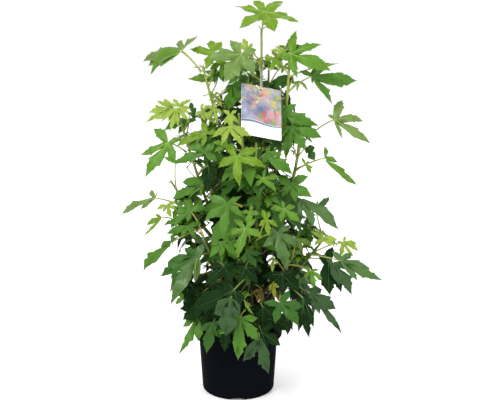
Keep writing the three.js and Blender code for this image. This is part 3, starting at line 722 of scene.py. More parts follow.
def trunkPath():
    # foot, a pull point 0.75 of the way across and 0.4 of the way up, and the fork
    (footX, footY), (topX, topY) = trunk["foot"], trunk["top"]
    top, fork = trunk["compostTop"], trunk["forkHeight"]
    pull = [mix(footX, topX, 0.75), footY - 6, mix(top, fork, 0.4)]
    return np.array([[footX, footY, top - 6], pull, [topX, topY, fork]])


def shootPath(parent, foot, heading, reach, height, outward):
    # foot, a pull point part of the way out and 0.4 of the way up, and the tip
    start = placeAtHeight(paths[parent], foot)
    out = direction(heading, 0) * reach
    tip = start + out
    tip[2] = height
    pull = start + out * outward
    pull[2] = mix(start[2], height, 0.4)
    return np.array([start, pull, tip])


paths = {"trunk": trunkPath()}
for name, row in shoots.items():
    paths[name] = shootPath(*row[:6])
bareShare = {name: row[6] for name, row in shoots.items()}
leafPhase = {name: row[7] for name, row in shoots.items()}


def barkTube(path, start, end, radiusAt, sides, seed, rough, pitch=3.0):
    # radius (1 + rough (ridges round + waves along)) with a swelling ring at each old leaf scar
    deal = np.random.default_rng(seed)
    length = pathLength(path) * (end - start)
    steps = max(6, int(length / pitch))
    t = np.linspace(start, end, steps)
    ring, angle = np.meshgrid(t * length / bark["waveEvery"], roundSteps(sides), indexing="ij")
    relief = np.zeros_like(ring)
    for octave in range(bark["octaves"]):
        turns = deal.integers(1, 3 + 2 * octave)
        wave = deal.uniform(1, 2.2) * (octave + 1) * ring
        relief += bark["fall"] ** octave * np.sin(turns * angle + wave + deal.uniform(0, 6))
    nodes = t * length / bark["scarEvery"]
    scars = np.exp(-((nodes % 1 - 0.5) / bark["scarWidth"]) ** 2)[:, None]
    scarSide = np.clip(np.cos(angle - bark["scarTurn"] * np.floor(nodes)[:, None]), 0, None)
    swelling = scars * (bark["scarRing"] + bark["scarSide"] * scarSide)
    return tube(bezier(path, t), radiusAt(t)[:, None] * (1 + rough * relief) + swelling, sides)


def trunkRadius(t):
    # straight from foot to top, with a flare that dies away as exp(-12 t)
    return mix(trunk["footRadius"], trunk["topRadius"], t) + trunk["flare"] * np.exp(-12 * np.maximum(t, 0))


def stemRadius(t):
    # straight from foot to tip
    return mix(stem["footRadius"], stem["tipRadius"], t)


def boughRadius(t):
    # a collar where it leaves its parent, which dies away as exp(-30 t)
    return stemRadius(t) + stem["collar"] * np.exp(-t * 30)


def makeLimbs():
    # trunk and bare boughs in one piece, their leafy ends in another
    parts = [barkTube(paths["trunk"], 0, 1.0, trunkRadius, trunk["sides"], 3, trunk["rough"], 2.5)]
    leafy = []
    for index, name in enumerate(shoots):
        path, bare = paths[name], bareShare[name]
        lower = (boughRadius, stem["sides"], 20 + index, stem["rough"])
        upper = (stemRadius, stem["leafySides"], 60 + index, stem["leafyRough"])
        parts.append(barkTube(path, 0.0, bare + 0.01, *lower))
        leafy.append(barkTube(path, bare, 1.0, *upper))
    nodes = ["trunk", *(f"bough_{name}" for name in shoots)]
    brown = stemFinish("bark", (104, 92, 58), (58, 44, 32), 0.25, 0.8, 0.75)
    green = stemFinish("greenBark", (128, 144, 54), (86, 92, 38), 0.25, 0.75, 0.55)
    makePiece("limbs", *joined(parts), [brown], "bark", nodes, crease=80)
    makePiece("leafy_stems", *joined(leafy), [green], "bark", crease=80)


makeLimbs()
print("limbs made")

blade = {
    "turns": (-113, -52, 0, 52, 113),  # of the lobes from the middle one
    "reaches": (0.62, 0.93, 1.0, 0.93, 0.62),
    "baseBelly": 0.15,  # fullness of the two sides by the stalk
    "sag": 0.2,
    "bow": 0.05,
    "bend": 0.05,
    "fold": 0.42,
    "puff": 0.11,
    "ripple": 0.034,
    "thickness": 0.5,
    "taper": 1.25,
    "taperLimits": (0.9, 3.5),
    "swell": (7.4, 1.3, 1.55),  # of a lobe's side, its power from the notch and its power to the tip
    "tooth": 0.44,  # place of the first tooth along a lobe's side
    "toothWidth": 0.06,
    "toothForward": 0.7,
    "dip": (0.11, 0.35, 0.06),  # how far beyond the first tooth, its share of that tooth, and its width
    "secondTooth": (0.22, 0.45, 0.05),
    "saw": 0.006,
    "firstRay": 0.34,  # share of a lobe's length at which its sides begin, for the veins
    "startLimits": (0.04, 0.6),  # and where a lobe's shape may have them begin
    "rippleTurn": 8,
    "baseRise": 0.02,
    "notchLimits": (0.7, 1.15),  # least and most that fullness does to a notch
    "notchTilt": (0.08, 0.05),  # of its direction towards the face, and of its end away from it
    "stalkRay": 0.05,
    # what chance multiplies by, from and to, and how far it moves the first tooth
    "vary": {
        "bow": (0.2, 1.9), "notch": (0.85, 1.12), "belly": (0.8, 1.2), "tooth": (0.2, 1.5),
        "fold": (0.2, 1.5), "firstTooth": 0.05,
    },
}
# depth of the notches, fullness of the lobes' sides and size of their teeth, as shares of a lobe's length
cuts = {
    "young": (0.25, 0.08, 0.055),
    "fresh": (0.29, 0.1, 0.045),
    "bright": (0.3, 0.105, 0.045),
    "pale": (0.32, 0.1, 0.045),
    "slate": (0.32, 0.11, 0.045),
    "deep": (0.31, 0.115, 0.046),
    "dark": (0.31, 0.11, 0.046),
    "dusk": (0.31, 0.11, 0.046),
    "mid": (0.31, 0.11, 0.048),
    "lime": (0.4, 0.09, 0.03),
    "broad": (0.5, 0.13, 0.022),
}


def pointKeys(half, row, column, rows, rays, across):
    # one number for each point of the half-lobes' grids, the same where neighbours share it: the joint,
    # the lobes' tips, their midribs and the rays between them
    lobe = half // 2
    ray = lobe + half % 2
    key = 100000 + (half * rows + row) * (across + 1) + column
    key = np.where((column == across) & (row <= rays), 50000 + ray * rows + row, key)
    key = np.where(column == 0, 30000 + lobe * rows + row, key)
    key = np.where(row == rows - 1, 1000 + lobe, key)
    return np.where(row == 0, 0, key)


def bladePattern(lobes, edges, rays, across, saw=0.0):
    # two half-lobes to a lobe, each a grid from midrib to border, with rays rows up to the notch and one
    # row for each of the edges beyond it. The lower skin has points of its own only inside the rim.
    edges = np.array(edges, float)
    rows = rays + len(edges)
    half, row, column = np.indices((2 * lobes, rows, across + 1))
    key = pointKeys(half, row, column, rows, rays, across)
    _, first, index = np.unique(key, return_index=True, return_inverse=True)
    index = index.reshape(key.shape)
    side = half % 2
    outer = np.isin(half // 2 + side, (0, lobes))
    rimCell = ((column == across) & ((row >= rays) | outer)) | (row == rows - 1) | (row == 0)
    rim = np.zeros(len(first), bool)
    rim[index[rimCell]] = True
    a, b = index[:, :-1, :-1], index[:, 1:, :-1]
    c, d = index[:, 1:, 1:], index[:, :-1, 1:]
    left = (side[:, :-1, :-1] == 1)[..., None]
    cells = np.where(left, np.stack([a, b, c, d], -1), np.stack([a, d, c, b], -1)).reshape(-1, 4)
    # cells that end in a point have a corner twice, and become triangles
    twice = np.roll(cells, -1, axis=1) == cells
    pointed, where = cells[twice.any(1)], twice[twice.any(1)].argmax(1)
    inner = np.flatnonzero(~rim)
    lower = np.arange(len(first))
    lower[inner] = len(first) + np.arange(len(inner))
    notch = blade["firstRay"]
    along = np.concatenate([np.arange(rays) / rays * notch, notch + (1 - notch) * edges])
    uv = np.stack([column.ravel()[first] / across, along[row.ravel()[first]]], -1)
    return {
        "rays": rays, "edges": edges, "across": across, "saw": saw, "first": first, "inner": inner,
        "quads": cells[~twice.any(1)], "tris": pointed[np.arange(4)[None] != where[:, None]].reshape(-1, 3),
        "lower": lower, "uv": np.concatenate([uv, uv[inner]]),
    }


def lobeShape(leaf):
    # each lobe's length, axis, normal (the face made square to the axis), leftward side, and its bends
    deal = np.random.default_rng(leaf["seed"])
    length = np.linalg.norm(leaf["lobes"], axis=1)[:, None]
    axis = leaf["lobes"] / length
    normal = unit(leaf["face"] - (axis @ leaf["face"])[:, None] * axis)
    bend = blade["bend"] * deal.uniform(-1, 1, (len(length), 1))
    bow = blade["bow"] * deal.uniform(*blade["vary"]["bow"]) * np.ones((len(length), 1))
    return length, axis, normal, np.cross(normal, axis), bend, bow


def midribAt(s, length, axis, normal, leftward, bend, bow):
    # L (axis s + (normal bow + leftward bend) 4 s (1 - s))
    s = np.asarray(s, float)[..., None]
    return length * (axis * s + (normal * bow + leftward * bend) * 4 * s * (1 - s))


def hump(x, middle, width):
    # exp(-((x - middle) / width)^2)
    return np.exp(-(((x - middle) / width) ** 2))


def notchRays(leaf, shape, fullness, deal):
    # from the joint to each notch, a share of the mean length of its two lobes, and a short ray on either
    # side of the stalk
    length, axis, _, leftward, _, _ = shape
    face = leaf["face"]
    pair = np.sqrt(length[1:] * length[:-1])
    drawn = np.clip(np.sqrt(fullness[1:] * fullness[:-1]), *blade["notchLimits"])
    depth = leaf["cut"][0] * deal.uniform(*blade["vary"]["notch"], pair.shape) * drawn
    tilt, drop = blade["notchTilt"]
    between = unit(axis[1:] + axis[:-1] + tilt * face) * depth - drop * face
    right = (axis[:1] - leftward[:1]) * blade["stalkRay"] * length[:1]
    left = (axis[-1:] + leftward[-1:]) * blade["stalkRay"] * length[-1:]
    return np.concatenate([right, between * pair, left])


def teethAt(x, size, first):
    # two teeth to a side with a dip between them
    (dip, depth, dipWidth), (second, share, width) = blade["dip"], blade["secondTooth"]
    both = hump(x, first, blade["toothWidth"]) - depth * hump(x, first + dip, dipWidth)
    return size * (both + share * hump(x, first + second, width))


def bladePoints(leaf):
    # Midrib M(s) and border B(x) of every half-lobe. B runs up a ray to the notch, then along the side:
    # M + out L (w0 (1-x)^taper + swell belly x^rising (1-x)^falling + teeth(x) + saw(x)), drawn to the
    # notch by (1-x)^3. Fullness scales a lobe's belly and teeth, divides its taper and moves its notches.
    pattern, count, face, vary = leaf["pattern"], len(leaf["lobes"]), leaf["face"], blade["vary"]
    _, belly, tooth = leaf["cut"]
    fullness = leaf.get("fullness", np.ones((count, 1)))
    deal = np.random.default_rng(leaf["seed"] + 1)
    shape = lobeShape(leaf)
    rays = notchRays(leaf, shape, fullness, deal)
    lobe, side = np.repeat(np.arange(count), 2), np.tile([0, 1], count)
    ray = rays[lobe + side][:, None]
    each = [value[lobe][:, None] for value in shape]
    length, axis, normal = each[:3]
    out = each[3] * np.where(side == 1, 1.0, -1.0)[:, None, None]
    start = np.clip((ray * axis).sum(-1) / length[..., 0], *blade["startLimits"])
    width0 = (ray * out).sum(-1) / length[..., 0]
    byStalk = ((lobe + side) == 0) | ((lobe + side) == count)
    fullness = fullness[lobe]
    full = np.where(byStalk, blade["baseBelly"], belly) * deal.uniform(*vary["belly"], 2 * count)
    full = full[:, None] * fullness
    x = pattern["edges"][None]
    shift = vary["firstTooth"] * deal.uniform(-1, 1, (2 * count, 1)) if pattern["saw"] else 0
    first = blade["tooth"] + shift
    size = tooth * deal.uniform(*vary["tooth"], (2 * count, 1)) * fullness
    teeth = teethAt(x, size, first)
    saw = pattern["saw"] * np.where(np.arange(x.shape[1]) % 2, 1.0, -1.0) * np.sin(math.pi * x) * fullness
    taper = np.clip(blade["taper"] / fullness, *blade["taperLimits"])
    swell, rising, falling = blade["swell"]
    width = width0 * (1 - x) ** taper + full * swell * x**rising * (1 - x) ** falling + teeth + saw
    rib = midribAt(start + (1 - start) * x, *each)
    phase = deal.uniform(0, 6, (2 * count, 1))
    ripple = blade["ripple"] * np.sin(blade["rippleTurn"] * x + phase) * 4 * x * (1 - x)
    lift = blade["fold"] * deal.uniform(*vary["fold"]) * width + ripple
    forward = blade["toothForward"] * size * hump(x, first, blade["toothWidth"])
    edge = rib + length * (out * width[..., None] + normal * lift[..., None] + axis * forward[..., None])
    edge = edge + (ray - edge[:, :1]) * ((1 - x) ** 3)[..., None]
    steps = (np.arange(pattern["rays"]) / pattern["rays"])[None]
    ribLow = midribAt(start * steps, *each)
    low = ray * steps[..., None] + face * length * blade["baseRise"] * np.sin(math.pi * steps)[..., None]
    rib, edge = np.concatenate([ribLow, rib], 1), np.concatenate([low, edge], 1)
    share = (np.arange(pattern["across"] + 1) / pattern["across"])[None, None, :, None]
    span = np.linalg.norm(edge - rib, axis=-1)[..., None, None]
    grid = mix(rib[:, :, None], edge[:, :, None], share)
    grid = grid + normal[:, :, None] * span * np.sin(math.pi * share) * blade["puff"]
    points = leaf["joint"] + grid.reshape(-1, 3)[pattern["first"]]
    return np.concatenate([points, points[pattern["inner"]] - face * blade["thickness"]])


def bladeFaces(pattern, group):
    # the upper skin's faces of one kind, and the lower skin's turned over from the same corner, so that
    # both skins are cut along one diagonal; and which skin each face is on
    upper = pattern[group]
    both = np.concatenate([upper, flipped(pattern["lower"][upper])])
    return both, np.repeat([0, 1], len(upper))


fineEdges = np.linspace(0, 1, 18)
fineBlades = {count: bladePattern(count, fineEdges, 3, 2, blade["saw"]) for count in (3, 4, 5, 6)}
lightBlade = bladePattern(5, (0, 0.18, 0.34, 0.44, 0.56, 0.78, 1), 2, 1)
smallBlade = bladePattern(5, (0, 0.25, 0.45, 0.7, 1), 1, 1)

# The leaves that face the front: tint, where the stalk meets the blade, its depth along y in millimetres,
# the ends of the lobes, some with a fullness after them, the side it faces where that isn't the front, and
# the cut where that isn't its tint's. The places are points of the picture.
longestLobe = 150
furtherOff = 0.16  # of a lobe's length
faceSway = np.array([0.22, 0.0, 0.1])
facing = {
    "front": (0.0, -0.85, 0.52),
    "left": (-0.62, -0.62, 0.48),
    "right": (0.62, -0.62, 0.48),
    "up": (0.0, -0.5, 0.87),
    "low": (0.0, -0.97, 0.24),
}
# a deep, dark or dusk tint here paints the shade a leaf sits in; a slate, pale or dusk tint paints a
# grey-blue sheen of reflected sky
faceLeaves = [
    ("fresh", (264.7, 11.5), 0, [(238.6, 28.8, 1.0), (275, 32, 1.35), (299.6, 22.6, 0.9),
        (283.8, 1.6, 0.9), (253.2, 0.2, 1.0), (234.4, 6.4, 0.8)], "up"),
    ("pale", (241.4, 54), -70, [(257, 49.7), (254.8, 75.5, 1.1), (224.4, 82.4, 1.3), (207.5, 58, 0.95),
        (230, 39.8, 1.25)]),
    ("fresh", (213.6, 52), -30, [(189, 48.8, 0.75), (210.5, 40.4, 1.5), (222, 41.6, 1.6), (227, 66, 1.2),
        (206.2, 69.6, 1.1)], "front", "bright"),
    ("young", (247.9, 49), -30, [(242.5, 38, 1.2), (235, 42.4, 1.2), (253, 43, 1.1), (256, 55), (243, 57)]),
    ("bright", (290.6, 54), -50, [(296.7, 30.2, 0.8), (322.8, 44.7, 0.65), (331.8, 71.2),
        (297.8, 79, 0.75), (277.2, 57.6)]),
    ("mid", (311.6, 76.3), -40, [(299.2, 70.8, 0.8), (312, 84, 0.8), (332.8, 105, 0.65),
        (357.6, 80.6, 0.95), (328, 62.5, 0.9)]),
    ("pale", (181.3, 49.9), -20, [(198.8, 35.4, 0.8), (180.5, 40, 1.3), (140.6, 62.6, 0.75),
        (147, 67.4, 0.8)], "left"),
    ("bright", (180.6, 51.4), -24, [(150.4, 75, 1.0), (171, 61.4, 0.7), (176, 56)], "left"),
    ("bright", (218, 77), 20, [(187.2, 78.8, 1.1), (204, 70.6, 0.9), (207, 83), (240, 74)]),
    ("mid", (232, 84), 10, [(246, 84), (240.4, 101.6, 1.3), (228, 110.4, 1.4),
        (225.4, 92, 1.3)], "front", "broad"),
    ("dark", (293, 76.5), -10, [(268.5, 87), (281, 89), (294, 84)], "left", "broad"),
    ("fresh", (276, 60), -30, [(265, 56), (270, 71), (281, 70), (283, 60)]),
    ("mid", (283, 112), -40, [(296.5, 103.8), (319.6, 125.8, 0.9), (303, 128), (285, 128), (278, 100)]),
    ("mid", (292, 127), -55, [(322.5, 138), (305.4, 150.8), (285.6, 161, 0.75), (278, 132), (296, 113)]),
    ("dark", (276, 139), -45, [(262, 141), (268, 152), (281, 152), (294, 142)]),
    ("pale", (334.4, 119.4), -30, [(327.5, 115.1), (342.6, 99.8), (364.2, 121.7, 0.75),
        (371.6, 144.6, 0.8), (342, 139.6, 0.6)]),
    ("bright", (324.8, 158), -40, [(324.1, 145.2), (338, 162.2, 0.8), (357.5, 185.8, 0.75)], "right"),
    ("young", (173.6, 108.4), -35, [(144, 124.2, 0.75), (147.6, 113, 1.0), (157, 120, 0.8),
        (156, 100.6, 0.9), (163, 98, 0.8), (168, 122, 0.8)]),
    ("young", (176, 108), -50, [(161, 122.4, 0.8), (169, 133.6, 0.9), (178.6, 128.6, 0.8),
        (189.6, 121.4, 0.9), (190.6, 113, 0.9)]),
    ("young", (201, 111), -40, [(216.5, 124.7), (203.5, 102.6), (195, 116.3), (209.6, 105), (206, 122)]),
    ("young", (230.5, 114), -120, [(222.6, 110), (237.2, 110), (240, 124), (224, 126)]),
    ("young", (229.5, 126.5), -182, [(251.9, 136.4), (242.8, 147.2, 0.9), (220.8, 146.6, 0.9),
        (211, 138, 0.8), (231, 113)]),
    ("fresh", (206, 133.4), -75, [(186.2, 134.2, 0.75), (174, 148.6, 0.75), (202, 147), (220, 131.6),
        (202.6, 120, 0.8)]),
    ("bright", (168, 142.4), -60, [(153.1, 128.4, 1.05), (138.4, 155.4, 0.62), (144.4, 178.4, 0.95),
        (176, 163.6), (181.8, 137.4, 0.8)]),
    ("mid", (204.2, 152.6), -95, [(187.8, 142.4, 1.1), (175.6, 164.2, 0.9), (217.8, 161.4, 1.1),
        (216, 142, 0.9)]),
    ("bright", (226, 146), -110, [(237, 147.7), (214, 152), (212, 142), (223, 137)]),
    ("fresh", (236.7, 156.1), -190, [(260.1, 148.5, 0.85), (266.7, 168, 0.85), (240.2, 187.5, 0.85),
        (217.7, 168.4, 0.85), (223.4, 142.4, 0.85)]),
    ("mid", (266, 153), -130, [(293.4, 174.8, 1.1), (282.5, 154.6), (262, 164), (270, 144.5)]),
    ("bright", (263, 178), -180, [(250.8, 175, 0.8), (276.4, 192.2, 0.85), (280, 176, 0.8),
        (266.2, 167.8, 0.8), (254, 188, 0.8)]),
    ("mid", (291, 184), -110, [(309.2, 176.6, 1.0), (312.6, 197.6, 1.15), (296, 202.5), (282, 198),
        (277.5, 176.4, 1.3)]),
    ("mid", (203, 184.4), -100, [(182, 182.6, 0.8), (171.8, 199.6, 0.85), (188, 199, 0.8), (201, 197, 0.8),
        (211, 178, 0.8)], "left"),
    ("pale", (155.4, 198), -50, [(118, 215.8, 0.52), (139.5, 210.2, 0.8), (151.8, 189.6, 1.3),
        (158.2, 192.6, 0.8)], "left"),
    ("young", (166.8, 204.8), -70, [(156.2, 209.6, 1.2), (163, 212.8, 1.1), (171.8, 218, 1.2),
        (177.2, 209.8, 1.1), (177.4, 202.6)]),
    ("fresh", (161.4, 217), -72, [(142.5, 236.9, 0.4), (146, 225.4, 1.2), (155.4, 214)]),
    ("mid", (190.6, 211), -110, [(174.2, 211.8), (165.6, 225, 0.8), (184, 198.6), (206.6, 207.2),
        (187.4, 223)]),
    ("mid", (188, 226), -118, [(165.4, 233.6, 0.9), (180.6, 237, 0.85), (197, 240, 0.8), (202, 223, 0.8)]),
    ("mid", (227, 203.2), -200, [(205.6, 196.8, 0.85), (242, 195.8, 0.75), (244, 217.6, 0.75),
        (224, 242, 0.75), (203.6, 222.4, 0.75)]),
    ("bright", (250.2, 211.5), -190, [(240.2, 212), (246.6, 226.4), (260, 214), (252, 204)]),
    ("fresh", (267.1, 219.4), -200, [(262, 209), (258.5, 226.4), (269.5, 237), (278.5, 226.8),
        (269.5, 211)]),
    ("bright", (284.4, 208.8), -190, [(270, 208.4), (281.4, 200.4), (296, 206.8), (301, 222.4),
        (280.6, 222.4)]),
    ("bright", (245.4, 228.4), -212, [(223.6, 235.2, 0.8), (237.2, 260, 0.8), (263.2, 237.4, 0.85),
        (257, 218.2, 0.8), (232.6, 218.6, 0.8)]),
    ("mid", (222.6, 241.6), -195, [(209, 258, 0.85), (209.6, 244.2, 0.85), (236.9, 257.4, 0.85),
        (235.4, 238.4, 0.85), (223, 256, 0.8)]),
    ("slate", (277, 232.7), -195, [(261.8, 247.2, 0.9), (287.7, 271, 0.85), (299.5, 243.4, 0.9),
        (291, 225, 0.9), (267, 226, 0.9)]),
    ("mid", (171.6, 242.5), -60, [(142.6, 272.4, 0.9), (160.5, 246.5), (174.6, 232.6)], "left"),
    ("slate", (198.6, 256.4), -135, [(168.2, 308.6, 0.85), (167.4, 293, 0.7), (195, 284, 0.75),
        (203, 243)]),
    ("dark", (196, 255.6), -126, [(159.4, 277.2, 0.9), (167, 262.4, 0.9), (184, 248), (199, 262)]),
    ("dark", (246.6, 251.4), -170, [(256.6, 267.6), (243, 264), (262, 254)]),
    ("deep", (224, 266.6), -165, [(204.6, 287), (232.5, 284), (207, 268), (237, 263)]),
    ("deep", (245.7, 267.5), -178, [(237.7, 284.4), (258.2, 283.7), (262, 268), (233, 268)]),
    ("young", (273.4, 257.6), -100, [(272, 273), (277.6, 264), (268.8, 262)]),
    ("bright", (310.8, 270.6), -130, [(313.2, 289), (322.8, 279.8), (304.2, 278.6), (319, 270),
        (303, 266)]),
    ("lime", (297.5, 239), -105, [(312.5, 246), (303, 252), (291, 247)]),
    ("slate", (301, 199), -104, [(341.2, 233.2, 0.62), (313.4, 227, 1.15), (298, 214)], "right"),
    ("dark", (316, 208), -60, [(329.4, 196.6, 0.62), (325.6, 219.4, 0.8), (318, 216)], "right"),
    ("young", (343.4, 242.6), -72, [(357, 243.4, 1.2), (359.2, 252, 1.1), (354, 257.4, 0.9),
        (340, 257, 1.2), (336, 241.6), (344.6, 235.8, 1.2)]),
    ("young", (322.6, 238), -90, [(314, 246.2, 1.0), (309.4, 231.2, 0.9), (315.4, 229.5, 0.9),
        (338.2, 240.2, 1.2), (335, 246, 1.2)]),
    ("slate", (341, 260.6), -104, [(384, 280.8, 0.7), (371, 268.6, 0.9), (357.4, 281.4, 0.8),
        (351.4, 252.6, 1.1), (332, 251)]),
    ("deep", (329, 261), -92, [(330, 295.8, 1.2), (341.4, 293.6, 0.9), (318, 256), (333, 246.6, 1.4)]),
    ("dusk", (309.4, 292.4), -112, [(336.2, 309, 1.3), (322, 289.2, 1.3), (320, 314.8, 0.8), (300, 283)]),
    ("dusk", (316.8, 301), -114, [(342, 335.4, 0.6), (331, 308), (322, 306)]),
    ("deep", (282, 274), -112, [(261, 277), (270, 288), (284, 294, 0.9), (300, 291),
        (299, 270)], "front", "broad"),
    ("deep", (303, 298), -125, [(309.5, 338.6, 0.8), (313.8, 328, 0.9), (298, 332.6, 0.7), (290, 322),
        (315, 306, 1.2)]),
    ("dark", (280.4, 303.4), -200, [(262.8, 302.6), (274.8, 324.4, 0.9), (298.6, 326.4), (303.4, 306.4),
        (289, 290, 1.1)]),
    ("deep", (233.6, 290), -190, [(216, 311), (240, 313), (246, 300), (222, 276), (190, 309)]),
    ("dusk", (230.6, 297.6), -202, [(213.8, 314.2, 1.2), (225.6, 336.4, 1.2),
        (240.6, 317, 1.2)], "front", "broad"),
    ("mid", (198.2, 315.6), -125, [(178, 355.2, 0.65), (182.3, 327.2), (187.6, 311.4, 0.9),
        (198.2, 342, 1.1), (207, 322)]),
    ("deep", (205, 305), -120, [(179.2, 308.8, 1.1), (182.5, 320, 1.3), (189, 294), (204, 322)]),
    ("mid", (240.2, 318), -198, [(216.8, 334.6, 0.6), (238, 361.2, 0.85), (258.6, 340.8), (258.4, 318),
        (229, 309)], "low"),
    ("dusk", (259.4, 337), -172, [(242.3, 361.8), (256, 353), (269, 374.4, 0.95)], "low"),
    ("deep", (262, 333), -162, [(266, 352), (280.6, 346, 1.1), (272.8, 321), (250, 322),
        (250, 341)], "low"),
    ("dark", (213.4, 322), -150, [(206.6, 354), (221, 339), (199, 329), (225, 323)], "low"),
    ("deep", (227, 322), -145, [(224.4, 352.8), (236, 337), (214, 335)], "low"),
    ("golden", (273, 283), -130, [(268.6, 291.4), (275, 299.4), (278.4, 288)]),
    ("rust", (234, 272), -110, [(231, 281), (237, 280), (239, 273)]),
    ("rust", (262, 290), -134, [(252.4, 292.4), (255.8, 301), (262.4, 304)]),
    ("young", (179.5, 106), -42, [(192.4, 99.2), (186.5, 101), (191.4, 109), (172.6, 98.6), (168, 104)]),
    ("bright", (222, 61), -15, [(208, 55), (209.4, 70), (221, 80), (231.5, 68)]),
    ("dark", (218, 71), 0, [(209.6, 67.4), (214.4, 84.6), (224, 83), (226, 68)]),
    ("young", (283, 51), -28, [(269.6, 50), (275, 46), (284, 46.6), (289, 48.6), (277, 59)]),
    ("fresh", (284, 66), -20, [(276, 64.4), (281, 74), (291, 70), (290, 63)]),
    ("bright", (300, 81), -30, [(292, 85, 0.6), (297, 92.4, 0.7), (308.4, 91.4, 0.6), (302, 86, 0.6)]),
    ("fresh", (214, 96), -30, [(210, 91), (217.6, 91.6), (220, 99), (209, 101)]),
    ("young", (219, 100), -25, [(216, 95.4), (223.4, 99), (222, 107.4), (213, 104)]),
    ("mid", (189, 119), 15, [(163, 131.6, 0.85), (178, 135, 0.9), (197, 120)]),
    ("dark", (191.6, 112), 18, [(190.6, 101.8), (196.4, 108), (195, 119), (187, 114)], "front", "broad"),
    ("young", (214.5, 109), -60, [(205.6, 118.6), (217, 125), (222.6, 113), (214, 101.6), (206, 105)]),
    ("dark", (306.4, 147.6), -35, [(315, 147, 1.5), (314.8, 160.6, 1.4), (306.4, 154)], "front", "broad"),
    ("deep", (204, 291), -112, [(186, 309), (191, 321), (206, 316), (219, 300),
        (195, 283)], "front", "broad"),
    ("deep", (213, 303), -116, [(196, 312), (201, 327), (216, 324), (226, 307),
        (206, 294)], "front", "broad"),
    ("dark", (203, 301), -106, [(189, 317), (200, 322), (213, 313), (192, 303)], "front", "broad"),
    ("fresh", (305.8, 165), -60, [(302, 157), (309, 161), (313.4, 168.8), (311.6, 174.2)]),
    ("fresh", (294.6, 152), -50, [(290, 150.4), (292.6, 156), (296.4, 149.6)]),
    ("deep", (212, 283), -100, [(187, 297), (194, 319), (214, 313), (204, 275), (226, 291)]),
    ("deep", (187, 281), -108, [(186, 304), (176.4, 298), (199.6, 301), (191, 269)]),
    ("bright", (186, 295), -95, [(174.6, 305.4), (187, 303.6), (178, 296)]),
    ("deep", (224, 304), -120, [(211, 322), (229, 331), (241, 314), (216, 296)]),
    ("deep", (250, 311), -130, [(243, 331), (261, 326), (262, 306), (243, 303)]),
    ("deep", (263, 307), -150, [(262, 324), (279, 320), (255, 321), (271, 299)]),
    ("deep", (284, 312), -150, [(292.8, 330.4), (287.6, 335.8), (278.6, 322), (300, 317)]),
    ("dusk", (333, 262.6), -100, [(351.9, 295.6, 1.15), (338.6, 286, 1.0), (350, 268, 0.9), (326, 256)]),
    ("dark", (326, 261), -60, [(331, 280), (323, 284), (321.6, 262), (328, 249)]),
    ("bright", (175.6, 163.4), -85, [(163, 156.4, 0.7), (182.8, 158.2), (191, 159.6, 0.6)]),
    ("lime", (196.6, 258.6), -142, [(195.6, 281.8, 0.4), (197.8, 268, 0.6), (199, 262, 0.7)]),
    ("slate", (203, 240), -60, [(188, 234), (194, 242), (208, 251), (212, 236)]),
    ("lime", (244.6, 301), -206, [(254.2, 315.4, 0.7), (249.4, 310.4, 0.6), (252.4, 306.8, 0.6)], "low"),
    ("deep", (208.4, 166), -90, [(201.6, 180), (206.6, 195), (213.6, 190), (216.4, 174), (209, 160)]),
    ("mid", (243, 71), -20, [(227, 85, 1.1), (238.6, 79.6, 0.8), (247, 63)]),
    ("bright", (316, 67), -34, [(340, 63.4, 0.4), (329, 66, 0.8), (327, 60.6, 0.6)]),
]


def turnedRound(middle, tips):
    # the tips' order round the joint, by angle, from one side of the widest gap, where the stalk comes in
    angle = np.arctan2(tips[:, 1] - middle[1], tips[:, 0] - middle[0])
    order = np.argsort(-angle)
    turned = angle[order]
    gaps = (turned - np.roll(turned, -1)) % (2 * math.pi)
    return np.roll(order, -(gaps.argmax() + 1))


def placedLeaf(index, tint, at, depth, tips, side="front", shape=None):
    # each tip lies where its sight line meets the blade's plane, then a little further off along that line
    deal = np.random.default_rng(500 + index)
    joint = atDepth(at, depth)
    face = unit(np.array(facing[side]) + faceSway * deal.uniform(-1, 1, 3))
    rows = np.array([(*row, 1.0)[:3] for row in tips], float)
    rows = rows[turnedRound(at, rows[:, :2])]
    lobes = []
    for point in rows[:, :2]:
        end = onPlane(point, joint, face)
        reach = np.linalg.norm(end - joint)
        end = joint + (end - joint) * min(1.0, longestLobe / reach)
        lobes.append(end - joint + unit(sightLine(*point)) * furtherOff * reach)
    return {
        "tint": tint, "joint": joint, "lobes": np.array(lobes), "face": face, "fullness": rows[:, 2:],
        "pattern": fineBlades[len(rows)], "cut": cuts.get(shape or tint, cuts["lime"]), "veins": True,
        "seed": 500 + index, "at": at,
    }


leaves = [placedLeaf(index, *row) for index, row in enumerate(faceLeaves)]
print("face leaves placed", len(leaves))

# the rule that deals out the others
rule = {
    "seed": 11, "spacing": 44, "spiral": 144, "lowest": 118,
    # of a shoot's oldest leaf and its youngest
    "blade": (112, 64), "stalk": (82, 26), "stalkRise": (12, 40), "droop": (52, 8),
    "lean": 38,
    "vary": {"stalk": 0.22, "stalkRise": 14, "droop": 18, "heading": 28, "lean": 26, "blade": 0.14},
    "lobeTurn": 7, "lobeReach": (0.92, 1.06),
    "detailFrom": 55,  # length from which a blade gets the finer pattern
    "leaderTop": 0.8,  # the leader's upper end is bare but for its top leaf
    "firstStep": 0.7,
    "twigEvery": 3,  # leaves from one longer twig to the next
    "twigShrink": 0.6,
    "twigRise": (30, 12),  # degrees, and how much they vary
    "twigBend": (0.55, 0.2),  # where it pulls outward, and how far its end lifts
    "twigTurns": (75, -12), "twigPairTurn": 150,
    "twigAge": (0.25, 0.2),  # how much younger its first leaves are, and each pair after them
    "longTwig": {"length": 88, "leaves": (0.5, 0.98), "size": 0.82, "turn": 60, "number": 100},
    "shortTwig": {"length": 58, "leaves": (0.45, 0.75, 0.98), "size": 0.6, "turn": -70, "number": 105},
    "turns": (0, 24, -24, 48, -48, 72, -72, 96, -96, 120, -120, 150, -150, 180),
    "crossings": 1,  # the most that are let stand
}
